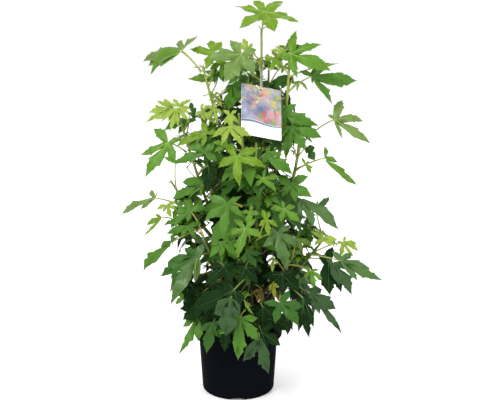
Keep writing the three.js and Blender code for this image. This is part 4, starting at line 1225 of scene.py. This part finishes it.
crown = {
    "middle": np.array([35.0, -5.0, 0.0]),
    # height, and how far the leaves reach out there
    "profile": [
        (110, 190), (200, 215), (300, 250), (450, 275), (700, 262), (850, 232), (950, 175), (1070, 95),
    ],
    # open places among the leaves, as discs of the picture
    "sky": [
        (198, 62, 9), (212, 87, 6), (270, 74, 5), (296, 76, 6), (304, 108, 11), (176, 150, 6),
        (186, 154, 5), (187, 170, 7), (284, 167, 8), (298, 154, 6), (201, 197, 5), (210, 229, 4),
        (204, 266, 5), (270, 261, 5), (316, 247, 4), (306, 271, 4), (284, 287, 5), (196, 168, 4),
        (192, 177, 4), (194, 128, 5), (212, 226, 5), (326, 229, 6), (315, 262, 6), (293, 314, 3),
        (267, 293, 4), (290, 160, 7), (284, 337, 5),
    ],
    # left and right border of the leaves by height in the picture
    "border": [
        (30, 250, 275), (36, 215, 300), (45, 215, 305), (60, 195, 330), (80, 195, 298), (100, 208, 292),
        (120, 168, 312), (140, 160, 320), (160, 172, 300), (180, 195, 300), (200, 168, 305), (220, 160, 325),
        (240, 165, 345), (260, 180, 345), (280, 170, 350), (300, 170, 345), (320, 180, 325), (335, 195, 300),
        (362, 205, 282),
    ],
    # the box in front of the card, which stays clear, and the breadth that the leaves in front keep clear
    "cardView": (np.array([-22.0, -400.0, 715.0]), np.array([150.0, -40.0, 900.0])),
    "clear": 4.5, "clearTip": 0.4,
}
# a leaf takes the first tint whose limit its tone is under; height and reach raise the tone as painted
# light, so low and inner leaves take the darker tints as painted shade
shadeAndAgeTones = {
    "height": 0.42, "from": 200, "span": 800, "reach": 0.8, "age": 0.32, "chance": 0.13, "base": -0.31,
    "limits": (
        (0.24, "deep"), (0.42, "dark"), (0.66, "mid"), (0.84, "bright"), (1.0, "fresh"), (9.0, "young"),
    ),
}


def chance(shoot, leaf, purpose):
    # fract(sin(seed + 12.9898 shoot + 78.233 leaf + 37.719 purpose) 43758.5453)
    return math.sin(rule["seed"] + 12.9898 * shoot + 78.233 * leaf + 37.719 * purpose) * 43758.5453 % 1.0


def spread(shoot, leaf, purpose):
    # the same between -1 and 1
    return 2 * chance(shoot, leaf, purpose) - 1


def fannedLobes(along, face, length, deal):
    # the lobes fan out in the blade's plane at set turns from the middle one, and their tips sag below it
    square = unit(face - along * np.dot(face, along))
    left = np.cross(square, along)
    sway = deal.uniform(-rule["lobeTurn"], rule["lobeTurn"], len(blade["turns"]))
    turns = np.radians(np.array(blade["turns"]) + sway)[:, None]
    stretch = deal.uniform(*rule["lobeReach"], len(blade["turns"]))
    reaches = (np.array(blade["reaches"]) * stretch * length)[:, None]
    fan = (along * np.cos(turns) + left * np.sin(turns)) * reaches
    return fan - square * blade["sag"] * reaches**2 / length, square


def ruleLeaf(foot, heading, age, size, shoot, number):
    # the stalk rises and the blade droops less with age, the leaf's share of the way up its shoot
    purposes = ("stalk", "stalkRise", "droop", "heading", "lean", "blade")
    vary = {key: rule["vary"][key] * spread(shoot, number, 1 + k) for k, key in enumerate(purposes)}
    stalkLength = mix(*rule["stalk"], age) * size * (1 + vary["stalk"])
    joint = foot + direction(heading, mix(*rule["stalkRise"], age) + vary["stalkRise"]) * stalkLength
    along = direction(heading + vary["heading"], -(mix(*rule["droop"], age) + vary["droop"]))
    lean = math.radians(rule["lean"] + vary["lean"])
    outward = unit((joint - crown["middle"]) * [1, 1, 0])
    face = outward * math.sin(lean) + upward * math.cos(lean)
    length = mix(*rule["blade"], age * age) * size * (1 + vary["blade"])
    seed = 2000 + 200 * shoot + number
    lobes, square = fannedLobes(along, face, length, np.random.default_rng(seed))
    pattern = lightBlade if length > rule["detailFrom"] else smallBlade
    return {
        "joint": joint, "lobes": lobes, "face": square, "foot": foot, "seed": seed, "age": age,
        "pattern": pattern, "cut": cuts["dark"], "veins": False,
    }


def tintOf(leaf):
    # weights times share of height, share of reach, age and chance, plus a base: old leaves are dark, and
    # low and inner leaves are darker and high and outer ones lighter as painted shade and light
    by, height = shadeAndAgeTones, leaf["joint"][2]
    out = np.linalg.norm((leaf["joint"] - crown["middle"])[:2]) / fromTable(crown["profile"], height)
    tone = by["height"] * (height - by["from"]) / by["span"] + by["reach"] * out + by["base"]
    tone += by["age"] * leaf["age"] + by["chance"] * spread(7, leaf["seed"], 9)
    return next(tint for limit, tint in by["limits"] if tone < limit)


# the lobes of the leaves that face the front, as lines of the picture
placedJoints = inPicture(np.array([leaf["joint"] for leaf in leaves]))
placedTips = [inPicture(leaf["joint"] + leaf["lobes"]) for leaf in leaves]
lobeStarts = np.concatenate([np.tile(j, (len(t), 1)) for j, t in zip(placedJoints, placedTips)])
lobeEnds = np.concatenate(placedTips)
lobeDepths = np.concatenate([np.full(len(t), leaf["joint"][1]) for t, leaf in zip(placedTips, leaves)])


def samplesOf(leaf):
    # the joint and three places along each lobe
    steps = np.array([0.4, 0.7, 1.0])[:, None, None]
    places = (leaf["joint"] + leaf["lobes"][None] * steps).reshape(-1, 3)
    return np.concatenate([leaf["joint"][None], places])


def hidesLobe(places, picture):
    # in front of a placed lobe, and nearer to it than clear (1 - (1 - clearTip) s), s the share along it
    along = lobeEnds - lobeStarts
    s = ((picture[:, None] - lobeStarts) * along).sum(-1) / (along * along).sum(-1)
    s = np.clip(s, 0, 1)
    gap = np.linalg.norm(picture[:, None] - lobeStarts - s[..., None] * along, axis=-1)
    before = places[:, 1, None] < lobeDepths + 5
    return ((gap < crown["clear"] * (1 - (1 - crown["clearTip"]) * s)) & before).any()


def inReach(leaf):
    # inside the crown's profile and borders, clear of the card's view and of the leaves that face the front
    places = samplesOf(leaf)
    out = np.linalg.norm((places - crown["middle"])[:, :2], axis=1)
    if (out > fromTable(crown["profile"], places[:, 2])).any() or places[:, 2].min() < rule["lowest"]:
        return False
    low, high = crown["cardView"]
    if ((places > low) & (places < high)).all(1).any():
        return False
    picture = inPicture(places)
    border = np.array(crown["border"], float)
    left, right = (np.interp(picture[:, 1], border[:, 0], border[:, k]) for k in (1, 2))
    if ((picture[:, 0] < left) | (picture[:, 0] > right) | (picture[:, 1] < border[0, 0])).any():
        return False
    sky = np.array(crown["sky"], float)
    if (np.linalg.norm(picture[:, None] - sky[None, :, :2], axis=-1) < sky[:, 2]).any():
        return False
    return not hidesLobe(places, picture)


accepted = {"trees": [], "joints": np.zeros((0, 3)), "sizes": np.zeros(0)}


def longestOf(leaf):
    # length of its longest lobe
    return np.linalg.norm(leaf["lobes"], axis=1).max()


def trianglesOf(leaf):
    # upper skin of one leaf as a search tree
    pattern = leaf["pattern"]
    points = bladePoints(leaf)[:len(pattern["first"])]
    faces = pattern["quads"].tolist() + pattern["tris"].tolist()
    return BVHTree.FromPolygons(points.tolist(), faces)


def accept(leaf, tree):
    # keep the leaf among those that later ones are tested against
    accepted["trees"].append(tree)
    accepted["joints"] = np.concatenate([accepted["joints"], leaf["joint"][None]])
    accepted["sizes"] = np.append(accepted["sizes"], longestOf(leaf))


def crossings(leaf, tree):
    # how many accepted leaves the leaf passes through, of those near enough to meet it
    near = np.linalg.norm(accepted["joints"] - leaf["joint"], axis=1) < accepted["sizes"] + longestOf(leaf)
    return sum(len(tree.overlap(accepted["trees"][k])) > 0 for k in np.flatnonzero(near))


for leaf in leaves:
    accept(leaf, trianglesOf(leaf))


def settle(foot, heading, age, size, shoot, number):
    # the first turn at which the leaf is in reach and crosses none, or the one in reach with the fewest
    best = None
    for nudge in rule["turns"]:
        leaf = ruleLeaf(foot, heading + nudge, age, size, shoot, number)
        if not inReach(leaf):
            continue
        tree = trianglesOf(leaf)
        count = crossings(leaf, tree)
        if best is None or count < best[0]:
            best = (count, leaf, tree)
        if count == 0:
            break
    if best is None or best[0] > rule["crossings"]:
        return None
    _, leaf, tree = best
    leaf["tint"] = tintOf(leaf)
    accept(leaf, tree)
    return leaf


twigs = []


def sideTwig(shoot, number, foot, heading, age, kind):
    # a twig bends up beside a leaf, shorter with age, and carries its own leaves
    length = kind["length"] * mix(1, rule["twigShrink"], age)
    number, heading = number + kind["number"], heading + kind["turn"]
    (rise, sway), (middle, lift), (younger, step) = rule["twigRise"], rule["twigBend"], rule["twigAge"]
    reach = direction(heading, rise + sway * spread(shoot, number, 7))
    path = np.array([foot, foot + reach * middle * length, foot + reach * length + upward * lift * length])
    made = []
    for k, share in enumerate(kind["leaves"]):
        turn = heading + rule["twigTurns"][k % 2] + (k // 2) * rule["twigPairTurn"]
        near = mix(age, 1, younger + step * (k // 2))
        made.append(settle(bezier(path, share), turn, near, kind["size"], shoot, number + k))
    if any(made):
        twigs.append(path)
    return made


def growShoot(shoot, name):
    # leaves at even steps up the leafy part, each turned by the spiral from the last, and a twig by each
    path, bare = paths[name], bareShare[name]
    leafTop = rule["leaderTop"] if name == "leader" else 1.0
    count = round(pathLength(path) * (leafTop - bare) / rule["spacing"])
    made = []
    for i in range(count):
        age = i / (count - 1)
        foot = bezier(path, mix(bare, leafTop, (i + rule["firstStep"]) / count))
        heading = leafPhase[name] + rule["spiral"] * i
        made.append(settle(foot, heading, age, 1.0, shoot, i))
        kind = rule["longTwig" if i % rule["twigEvery"] == 1 else "shortTwig"]
        made += sideTwig(shoot, 10 * i, foot, heading, age, kind)
    return [leaf for leaf in made if leaf]


skirt = {
    "shoots": ("back_low", "back_low_left", "back_low_right"),
    "shares": (0.12, 0.16, 0.2, 0.23),  # of the bough's length, where the leaves begin
    "age": -0.6,
}


def growSkirt(shoot, name):
    # leaves on long stalks that hang from the bare part of a low bough, down towards the pot's rim
    made = []
    for i, share in enumerate(skirt["shares"]):
        heading = leafPhase[name] + rule["spiral"] * i
        made.append(settle(bezier(paths[name], share), heading, skirt["age"], 1.0, shoot, 90 + i))
    return [leaf for leaf in made if leaf]


for shoot, name in enumerate(shoots):
    leaves += growShoot(shoot, name)
for shoot, name in enumerate(shoots):
    if name in skirt["shoots"]:
        leaves += growSkirt(shoot, name)
print("leaves dealt out", len(leaves), "twigs", len(twigs))

stalk = {
    "radius": 2.4, "tip": 1.7, "steps": 7, "sides": 5, "flare": 1.5,
    "rise": 34,  # how far below its leaf a stalk begins
    "straighten": 0.2,  # share by which its bend is drawn to the line that runs on into the blade
    "longest": 120,
    "bridge": 60,  # from a long twig's end to the leaf
    "bridgeDrop": 14, "bridgeSag": 0.04,
    "onStem": 2.5,  # in the picture, how near to a stem a foot has to be to stand on it
    "seenBend": 4,
    "placed": (0.03, 0.8),  # arch and thickness under a leaf that faces the front
    "dealt": (0.1, 0.6),  # and under one of the rule's
    "byLength": 0.2,  # thickness added for each 100 mm of blade
}
# feet of stalks that show: the leaf's joint, then the foot, both in the picture
stalkFeet = {
    (181.3, 49.9): (201.4, 72), (175.6, 163.4): (174.8, 190), (180.6, 51.4): (201.4, 72),
    (311.6, 76.3): (288.4, 94), (284, 66): (270.6, 88), (324.8, 158): (296, 170.5),
    (168, 142.4): (186, 152), (334.4, 119.4): (300, 147), (155.4, 198): (178, 204),
    (161.4, 217): (177, 222), (343.4, 242.6): (311, 253), (341, 260.6): (306, 254),
    (204.2, 152.6): (192, 158),
}
# dry ends and buds: shoot, and the end of each in the picture
stubs = [
    ("left_high", (193.5, 67.5)), ("left_high", (199.3, 65.2)), ("left_high", (203.4, 64.6)),
    ("left_high", (203, 96)), ("leader", (258.8, 25.8)), ("leader", (267.4, 25.4)),
    ("right_low", (313.6, 249)), ("left_low", (167.6, 183.4)),
]
stubRadii = [1.9, 1.3, 1.1, 1.2, 1.5, 1.0]
twigWood = {"radii": (1.9, 1.0), "flare": 1.35, "knots": 0.06, "knotTurn": 9, "steps": 12, "sides": 7}
stemPlaces = np.concatenate([
    bezier(paths[name], np.linspace(bareShare[name] + 0.03, 0.985, 41)) for name in shoots
])


def stalkPath(foot, joint, along, arch):
    # a bend up in the middle, and an end that runs on into the blade
    span = np.linalg.norm(joint - foot)
    middle = (foot + joint) / 2 + upward * arch * span
    pull = mix(middle, joint - along * 0.5 * span, stalk["straighten"])
    return bezier(np.array([foot, pull, joint]), np.linspace(0, 1, stalk["steps"]))


def nearestFoot(joint):
    # the place a little below the joint and not in front of it, or the end of a twig that bridges a long way
    aim = joint - upward * stalk["rise"]
    away = np.linalg.norm(stemPlaces - aim, axis=1) + np.clip(joint[1] - stemPlaces[:, 1], 0, None)
    foot = stemPlaces[away.argmin()]
    far = np.linalg.norm(joint - foot)
    if far > stalk["longest"]:
        end = mix(foot, joint, 1 - stalk["bridge"] / far) - upward * stalk["bridgeDrop"]
        twigs.append(np.array([foot, mix(foot, end, 0.5) - upward * stalk["bridgeSag"] * far, end]))
        foot = end
    return foot


def seenFoot(joint, point):
    # a place on the stem behind the picture point, or the end of a twig from the nearest stem to that point
    away = np.linalg.norm(inPicture(stemPlaces) - point, axis=1)
    foot = stemPlaces[away.argmin()]
    if away.min() > stalk["onStem"]:
        end = atDepth(point, mix(foot[1], joint[1], 0.5))
        foot = stemPlaces[np.linalg.norm(stemPlaces - end, axis=1).argmin()]
        twigs.append(np.array([foot, mix(foot, end, 0.5) + upward * stalk["seenBend"], end]))
        foot = end
    return foot


def makeStalks():
    # a thin tube from each leaf's foot to its joint, thicker under a longer leaf
    parts = []
    for leaf in leaves:
        if leaf.get("at") in stalkFeet:
            leaf["foot"] = seenFoot(leaf["joint"], stalkFeet[leaf["at"]])
        elif "foot" not in leaf:
            leaf["foot"] = nearestFoot(leaf["joint"])
        arch, thick = stalk["placed"] if leaf["veins"] else stalk["dealt"]
        joint = leaf["joint"] + leaf["face"] * -0.6
        path = stalkPath(leaf["foot"], joint, unit(leaf["lobes"].mean(0)), arch)
        thick += stalk["byLength"] * longestOf(leaf) / 100
        radii = np.linspace(stalk["radius"], stalk["tip"], stalk["steps"]) * thick
        radii[0] *= stalk["flare"]
        parts.append(tube(path, radii, stalk["sides"]))
    green = plainFinish("leafStalk", (140, 148, 66), 0.45, 120)
    makePiece("leaf_stalks", *joined(parts), [green], "leaf", crease=80)


def makeTwigs():
    # the stubs, then a tapering tube along each twig: radius (1 + knots sin(knotTurn t + its number))
    wood = []
    for name, point in stubs:
        places = bezier(paths[name], np.linspace(0.5, 1, 60))
        foot = places[np.linalg.norm(inPicture(places) - point, axis=1).argmin()]
        end = atDepth(point, foot[1] - 2)
        wood.append(tube(np.linspace(foot, end, len(stubRadii)), stubRadii, twigWood["sides"]))
    for index, path in enumerate(twigs):
        t = np.linspace(0, 1, twigWood["steps"])
        knots = 1 + twigWood["knots"] * np.sin(twigWood["knotTurn"] * t + index)
        radii = mix(*twigWood["radii"], t) * knots
        radii[0] *= twigWood["flare"]
        wood.append(tube(bezier(path, t), radii, twigWood["sides"]))
    brown = stemFinish("twigBark", (140, 150, 66), (98, 88, 50), 0.2, 0.8, 0.55)
    makePiece("side_twigs", *joined(wood), [brown], "bark", crease=80)


makeStalks()
makeTwigs()
print("stalks and twigs made")

tuft = {
    "shootLeaves": 4, "twigLeaves": 3, "length": (28, 56), "seed": 9000,
    "stalk": 14, "stalkVary": (0.7, 1.6), "stalkRadii": (0.9, 0.6),
    "turn": 60, "rise": 10,  # degrees by which a leaf's heading varies, and above level
    "splay": (0.5, 0.12),  # of the first leaf, and more for each after it
    "tints": ("young", "fresh", "fresh", "bright"),
    # tufts lower than lowUnder take darker tints, painted shade of the lower crown
    "lowUnder": 480, "lowShadeTints": ("fresh", "bright", "bright", "mid"),
}


def growTips():
    # a tuft of small upright leaves at the end of each shoot and twig
    ends = [(paths[name][2], paths[name][2] - paths[name][1]) for name in shoots if name != "leader"]
    ends += [(path[2], path[2] - path[1]) for path in twigs]
    made = []
    for index, (end, along) in enumerate(ends):
        along = unit(along)
        deal = np.random.default_rng(tuft["seed"] + index)
        # the darker greens of low tufts are painted shade
        greens = tuft["tints"] if end[2] >= tuft["lowUnder"] else tuft["lowShadeTints"]
        for k in range(tuft["shootLeaves"] if index < len(shoots) else tuft["twigLeaves"]):
            heading = rule["spiral"] * k + deal.uniform(0, tuft["turn"])
            splay = tuft["splay"][0] + tuft["splay"][1] * k
            out = unit(along * 0.9 + direction(heading, tuft["rise"]) * splay)
            joint = end + out * tuft["stalk"] * deal.uniform(*tuft["stalkVary"])
            length = mix(*tuft["length"], deal.uniform() * splay)
            face = unit(upward * 0.9 - direction(heading, 0) * 0.3 + along * 0.2)
            lobes, square = fannedLobes(out, face, length, deal)
            leaf = {
                "joint": joint, "lobes": lobes, "face": square, "foot": end, "pattern": smallBlade,
                "seed": tuft["seed"] + 7 * index + k, "cut": cuts["young"], "veins": False,
                "tint": greens[(k + index) % 4],
            }
            if inReach(leaf):
                made.append(leaf)
    return made


tipLeaves = growTips()
print("young tips grown", len(tipLeaves))


def makeTipStalks():
    # a straight thin tube under each leaf of a tuft
    parts = []
    for leaf in tipLeaves:
        path = np.array([leaf["foot"], mix(leaf["foot"], leaf["joint"], 0.5), leaf["joint"]])
        parts.append(tube(bezier(path, np.linspace(0, 1, 4)), np.linspace(*tuft["stalkRadii"], 4), 5))
    green = plainFinish("youngStalk", (176, 186, 92), 0.45, 120)
    makePiece("tip_stalks", *joined(parts), [green], "leaf", crease=80)


makeTipStalks()

underside = {"tone": np.array([0.30, 0.42, 0.20]), "share": 0.3, "gloss": 0.6, "veins": 0.35}


def makeBlades():
    # one piece for each tint: the leaves' points one after another, their quads and then their triangles
    nodes = [f"foliage_{name}" for name in shoots]
    for tint, (tone, gloss) in tints.items():
        chosen = [leaf for leaf in leaves + tipLeaves if leaf["tint"] == tint]
        places = [bladePoints(leaf) for leaf in chosen]
        before = np.cumsum([0] + [len(points) for points in places])
        faces, skins = [], []
        for group in ("quads", "tris"):
            both = [bladeFaces(leaf["pattern"], group) for leaf in chosen]
            faces.append(np.concatenate([part + count for (part, _), count in zip(both, before)]))
            skins += [skin for _, skin in both]
        base = colour(*tone)
        pale = mix(np.array(base[:3]), underside["tone"], underside["share"])
        upper = leafFinish(f"{tint}Leaf", base, gloss)
        under = leafFinish(f"{tint}Under", (*pale, 1), underside["gloss"], veins=underside["veins"])
        makePiece(
            f"leaves_{tint}", np.concatenate(places), faces, [upper, under], "leaf",
            nodes if tint == "mid" else (), uv=np.concatenate([leaf["pattern"]["uv"] for leaf in chosen]),
            shade=np.concatenate(skins), crease=75,
        )


makeBlades()
print("blades made")

veins = {
    # ribs on the darker tints are darker, painted shade as on their blades; ribs on the bright tints are
    # brighter, painted light
    "vein_pale": {"colour": (72, 106, 50), "tints": ("deep", "dusk", "dark", "mid", "slate")},
    "vein_bright": {"colour": (140, 172, 82), "tints": ("bright", "fresh", "young", "lime", "pale")},
}
ribs = {"radii": (0.66, 0.18), "steps": 6, "end": 0.94, "above": 0.1, "fullFrom": 90, "ruleShare": 0.8}


def makeVeins():
    # a fine four-sided rib on each lobe's midrib, thinner on short lobes and on the rule's leaves
    for name, vein in veins.items():
        parts = []
        for leaf in leaves:
            if leaf["tint"] not in vein["tints"]:
                continue
            shape = lobeShape(leaf)
            for k in range(len(leaf["lobes"])):
                one = [value[k] for value in shape]
                length, normal = one[0][0], one[2]
                path = leaf["joint"] + midribAt(np.linspace(0.0, ribs["end"], ribs["steps"]), *one)
                wide = min(1.0, length / ribs["fullFrom"]) * (1.0 if leaf["veins"] else ribs["ruleShare"])
                radii = np.linspace(*ribs["radii"], ribs["steps"]) * wide
                parts.append(tube(path + normal * ribs["above"], radii, 4, normal))
        finish = plainFinish(f"{name}Rib", vein["colour"], 0.42, 200, 0.0001)
        makePiece(name, *joined(parts), [finish], "leaf", crease=80)


makeVeins()
print("veins made")

card = {
    "width": 110, "height": 147, "holeRadius": 4, "holeDown": 9, "holeReach": 9,
    "topMiddle": np.array([62.5, -60.0, 859.3]),
    "across": np.array([0.93, 0.286, -0.231]),
    "upward": np.array([0.0, 0.623, 0.782]),
    "margin": 0.3, "printOff": 0.55, "printThick": 0.12,
    "pictureFoot": (0.305, 0.276),  # height of the picture's foot at the left and the right, of the card's
    "bow": 0.02, "bandFrom": 1, "bandTo": 6, "bandTaper": 0.04,
}
cardAcross = unit(card["across"])
cardFace = unit(np.cross(cardAcross, card["upward"]))
cardUp = np.cross(cardFace, cardAcross)


def onCard(x, y, off):
    # x to the side of the top edge's middle, y up from it, off the sheet's middle
    return card["topMiddle"] + cardAcross * x + cardUp * y + cardFace * off


def aroundHole(x, y):
    # places within reach of the hole are pushed out from it: rim + (away / reach)^3 (reach - rim)
    away, reach = np.hypot(x, y + card["holeDown"]), card["holeReach"]
    rim = card["holeRadius"] + card["margin"]
    push = np.where(away < reach, (rim + (away / reach) ** 3 * (reach - rim)) / np.maximum(away, 0.01), 1)
    return x * push, (y + card["holeDown"]) * push - card["holeDown"]


def makeSheet(name, topAt, footAt, columns, rows, material, hole=False):
    # a thin closed skin over the card between two curves, with a hole where the thread passes
    half = card["width"] / 2 - card["margin"]
    x = np.linspace(-half, half, columns)
    gx = np.tile(x, (rows, 1))
    gy = mix(topAt(x)[None], footAt(x)[None], np.linspace(0, 1, rows)[:, None])
    if hole:
        gx, gy = aroundHole(gx, gy)
    front = np.stack([gx, gy], -1).reshape(-1, 2)
    levels = (card["printOff"], card["printOff"] - card["printThick"])
    points = np.concatenate([onCard(*front.T[:, :, None], off) for off in levels])
    total = rows * columns
    r, c = np.meshgrid(np.arange(rows - 1), np.arange(columns - 1), indexing="ij")
    a = (r * columns + c).ravel()
    quads = np.stack([a, a + columns, a + columns + 1, a + 1], -1)
    if hole:
        middle = front[quads].mean(1) + [0, card["holeDown"]]
        quads = quads[np.hypot(*middle.T) > card["holeRadius"] + card["margin"]]
    # a wall wherever an edge belongs to one quad only
    edges = np.concatenate([quads[:, [k, (k + 1) % 4]] for k in range(4)])
    reverse = set(map(tuple, edges[:, ::-1].tolist()))
    border = np.array([edge for edge in edges.tolist() if tuple(edge) not in reverse])
    walls = np.stack([border[:, 1], border[:, 0], border[:, 0] + total, border[:, 1] + total], -1)
    uv = np.stack([(front[:, 0] + half) / (2 * half), 1 + front[:, 1] / card["height"]], -1)
    faces = [np.concatenate([quads, quads[:, ::-1] + total, walls])]
    makePiece(name, points, faces, [material], "card", uv=np.concatenate([uv, uv]), crease=30)


def pictureTop(x):
    # a margin below the card's top edge
    return np.full_like(x, -card["margin"])


def pictureFoot(x):
    # from one side's height to the other's, waved up on the left and down on the right
    half = card["width"] / 2 - card["margin"]
    share = (x + half) / (2 * half)
    low = mix(*card["pictureFoot"], share)
    return -card["height"] * (1 - low - card["bow"] * np.sin(2 * math.pi * share))


def bandTop(x):
    # just under the picture's foot
    return pictureFoot(x) - card["bandFrom"]


def bandFoot(x):
    # a little narrower towards the right
    return pictureFoot(x) - card["bandTo"] + card["bandTaper"] * x


def makeCard():
    # the print and the coloured band over the CAD's own card, which only gets its finish
    ink = plainFinish("tealInk", (79, 106, 117), 0.35, 300, 0.00005)
    makeSheet("card_print", pictureTop, pictureFoot, 45, 60, printFinish(), hole=True)
    makeSheet("card_band", bandTop, bandFoot, 30, 3, ink)
    stock = bpy.data.objects["picture_card"].data.materials
    stock.clear()
    stock.append(cardFinish())


makeCard()
print("card made")

thread = {
    "radius": 0.42, "height": 916, "ring": 4.5, "turns": 150, "twist": 0.55, "steps": 60, "places": 700,
    # (x, y, off the card) from the stem down through the hole, and back up behind
    "down": [(-4.2, 30, 5.6), (-3, -1, 2.6), (-0.6, -5.8, 1.5), (0, -6.4, 0)],
    "up": [(0.6, -5.8, -1.5), (2.2, -1, -2.6), (2.6, 30, -3.6)],
}


def blended(a, b, knots, t):
    # ((end - t) a + (t - start) b) / (end - start)
    start, end = knots
    return ((end - t) * a + (t - start) * b) / (end - start)


def closedCurve(points, steps):
    # a closed centripetal Catmull-Rom curve, each knot the square root of a step further on
    places = []
    for k in range(len(points)):
        p = points[np.arange(k - 1, k + 3) % len(points)]
        knots = np.concatenate([[0], np.cumsum(np.linalg.norm(np.diff(p, axis=0), axis=1) ** 0.5)])
        t = np.linspace(knots[1], knots[2], steps, endpoint=False)[:, None]
        a, b, c = (blended(p[i], p[i + 1], knots[i:i + 2], t) for i in range(3))
        d, e = blended(a, b, knots[[0, 2]], t), blended(b, c, knots[[1, 3]], t)
        places.append(blended(d, e, knots[1:3], t))
    return np.concatenate(places)


def makeThread():
    # two plies wound round the loop's line: line + (side cos + over sin) radius twist
    hung, ring = placeAtHeight(paths["leader"], thread["height"]), thread["ring"]
    points = np.array([
        hung + [0, ring, 3], hung + [-ring, 1, 1],
        *(onCard(*place) for place in thread["down"] + thread["up"]),
        hung + [ring, 1, 1],
    ])
    line = closedCurve(points, thread["steps"])
    length = np.concatenate([[0], np.cumsum(np.linalg.norm(np.diff(line, axis=0), axis=1))])
    even = np.linspace(0, length[-1], thread["places"])
    line = np.stack([np.interp(even, length, line[:, k]) for k in range(3)], -1)
    along = unit(np.roll(line, -1, 0) - np.roll(line, 1, 0))
    side = unit(np.cross(along, [0.3, 1, 0.2]))
    over = np.cross(along, side)
    ply = thread["radius"]
    parts = []
    for start in (0, math.pi):
        angle = (start + 2 * math.pi * thread["turns"] * np.arange(len(line)) / len(line))[:, None]
        strand = line + (side * np.cos(angle) + over * np.sin(angle)) * ply * thread["twist"]
        parts.append(tube(strand, np.full(len(line), ply), 6))
    finish = plainFinish("threadFibre", (196, 204, 208), 0.8, 900, 0.0001)
    makePiece("thread_loop", *joined(parts), [finish], "thread", ["card_thread"], crease=80)


makeThread()
print("thread made")

studio = {
    "half": 40, "paper": (0.96, 0.96, 0.96, 1), "sky": 1.07,
    # place and aim in metres, size and power of each soft light
    "lights": {
        "key": ((-1.6, -2.6, 3.4), (0, 0, 0.5), 1.4, 120),
        "fill": ((2.6, -2.2, 1.8), (0, 0, 0.5), 2.0, 34),
        "rim": ((0.8, 3.0, 2.8), (0, 0, 0.7), 1.6, 50),
    },
}


def makeStage():
    # a square of white paper on the ground
    half = studio["half"]
    mesh = bpy.data.meshes.new("studio_floor")
    corners = [(-half, -half, 0), (half, -half, 0), (half, half, 0), (-half, half, 0)]
    mesh.from_pydata(corners, [], [(0, 1, 2, 3)])
    paper = Finish("studioPaper", 0.9, 0.2)
    paper.set(Base_Color=studio["paper"])
    mesh.materials.append(paper.material)
    floor = bpy.data.objects.new("studio_floor", mesh)
    bpy.context.scene.collection.objects.link(floor)


def softLight(name, place, aim, size, power):
    # a round lamp turned so that it shines from its place to its aim
    data = bpy.data.lights.new(name, "AREA")
    data.shape = "DISK"
    data.size = size
    data.energy = power
    lamp = bpy.data.objects.new(name, data)
    lamp.location = place
    away = np.array(place) - np.array(aim)
    level = math.hypot(away[0], away[1])
    lamp.rotation_euler = (math.atan2(level, away[2]), 0, math.atan2(away[0], -away[1]))
    bpy.context.scene.collection.objects.link(lamp)


def makeLight():
    # an even white sky and the soft lights
    world = bpy.data.worlds.new("studio")
    world.use_nodes = True
    sky = world.node_tree.nodes["Background"]
    sky.inputs["Color"].default_value = (1, 1, 1, 1)
    sky.inputs["Strength"].default_value = studio["sky"]
    bpy.context.scene.world = world
    for name, lamp in studio["lights"].items():
        softLight(name, *lamp)


makeStage()
makeLight()
bpy.context.scene.view_settings.view_transform = "Standard"
print("stage and light set")
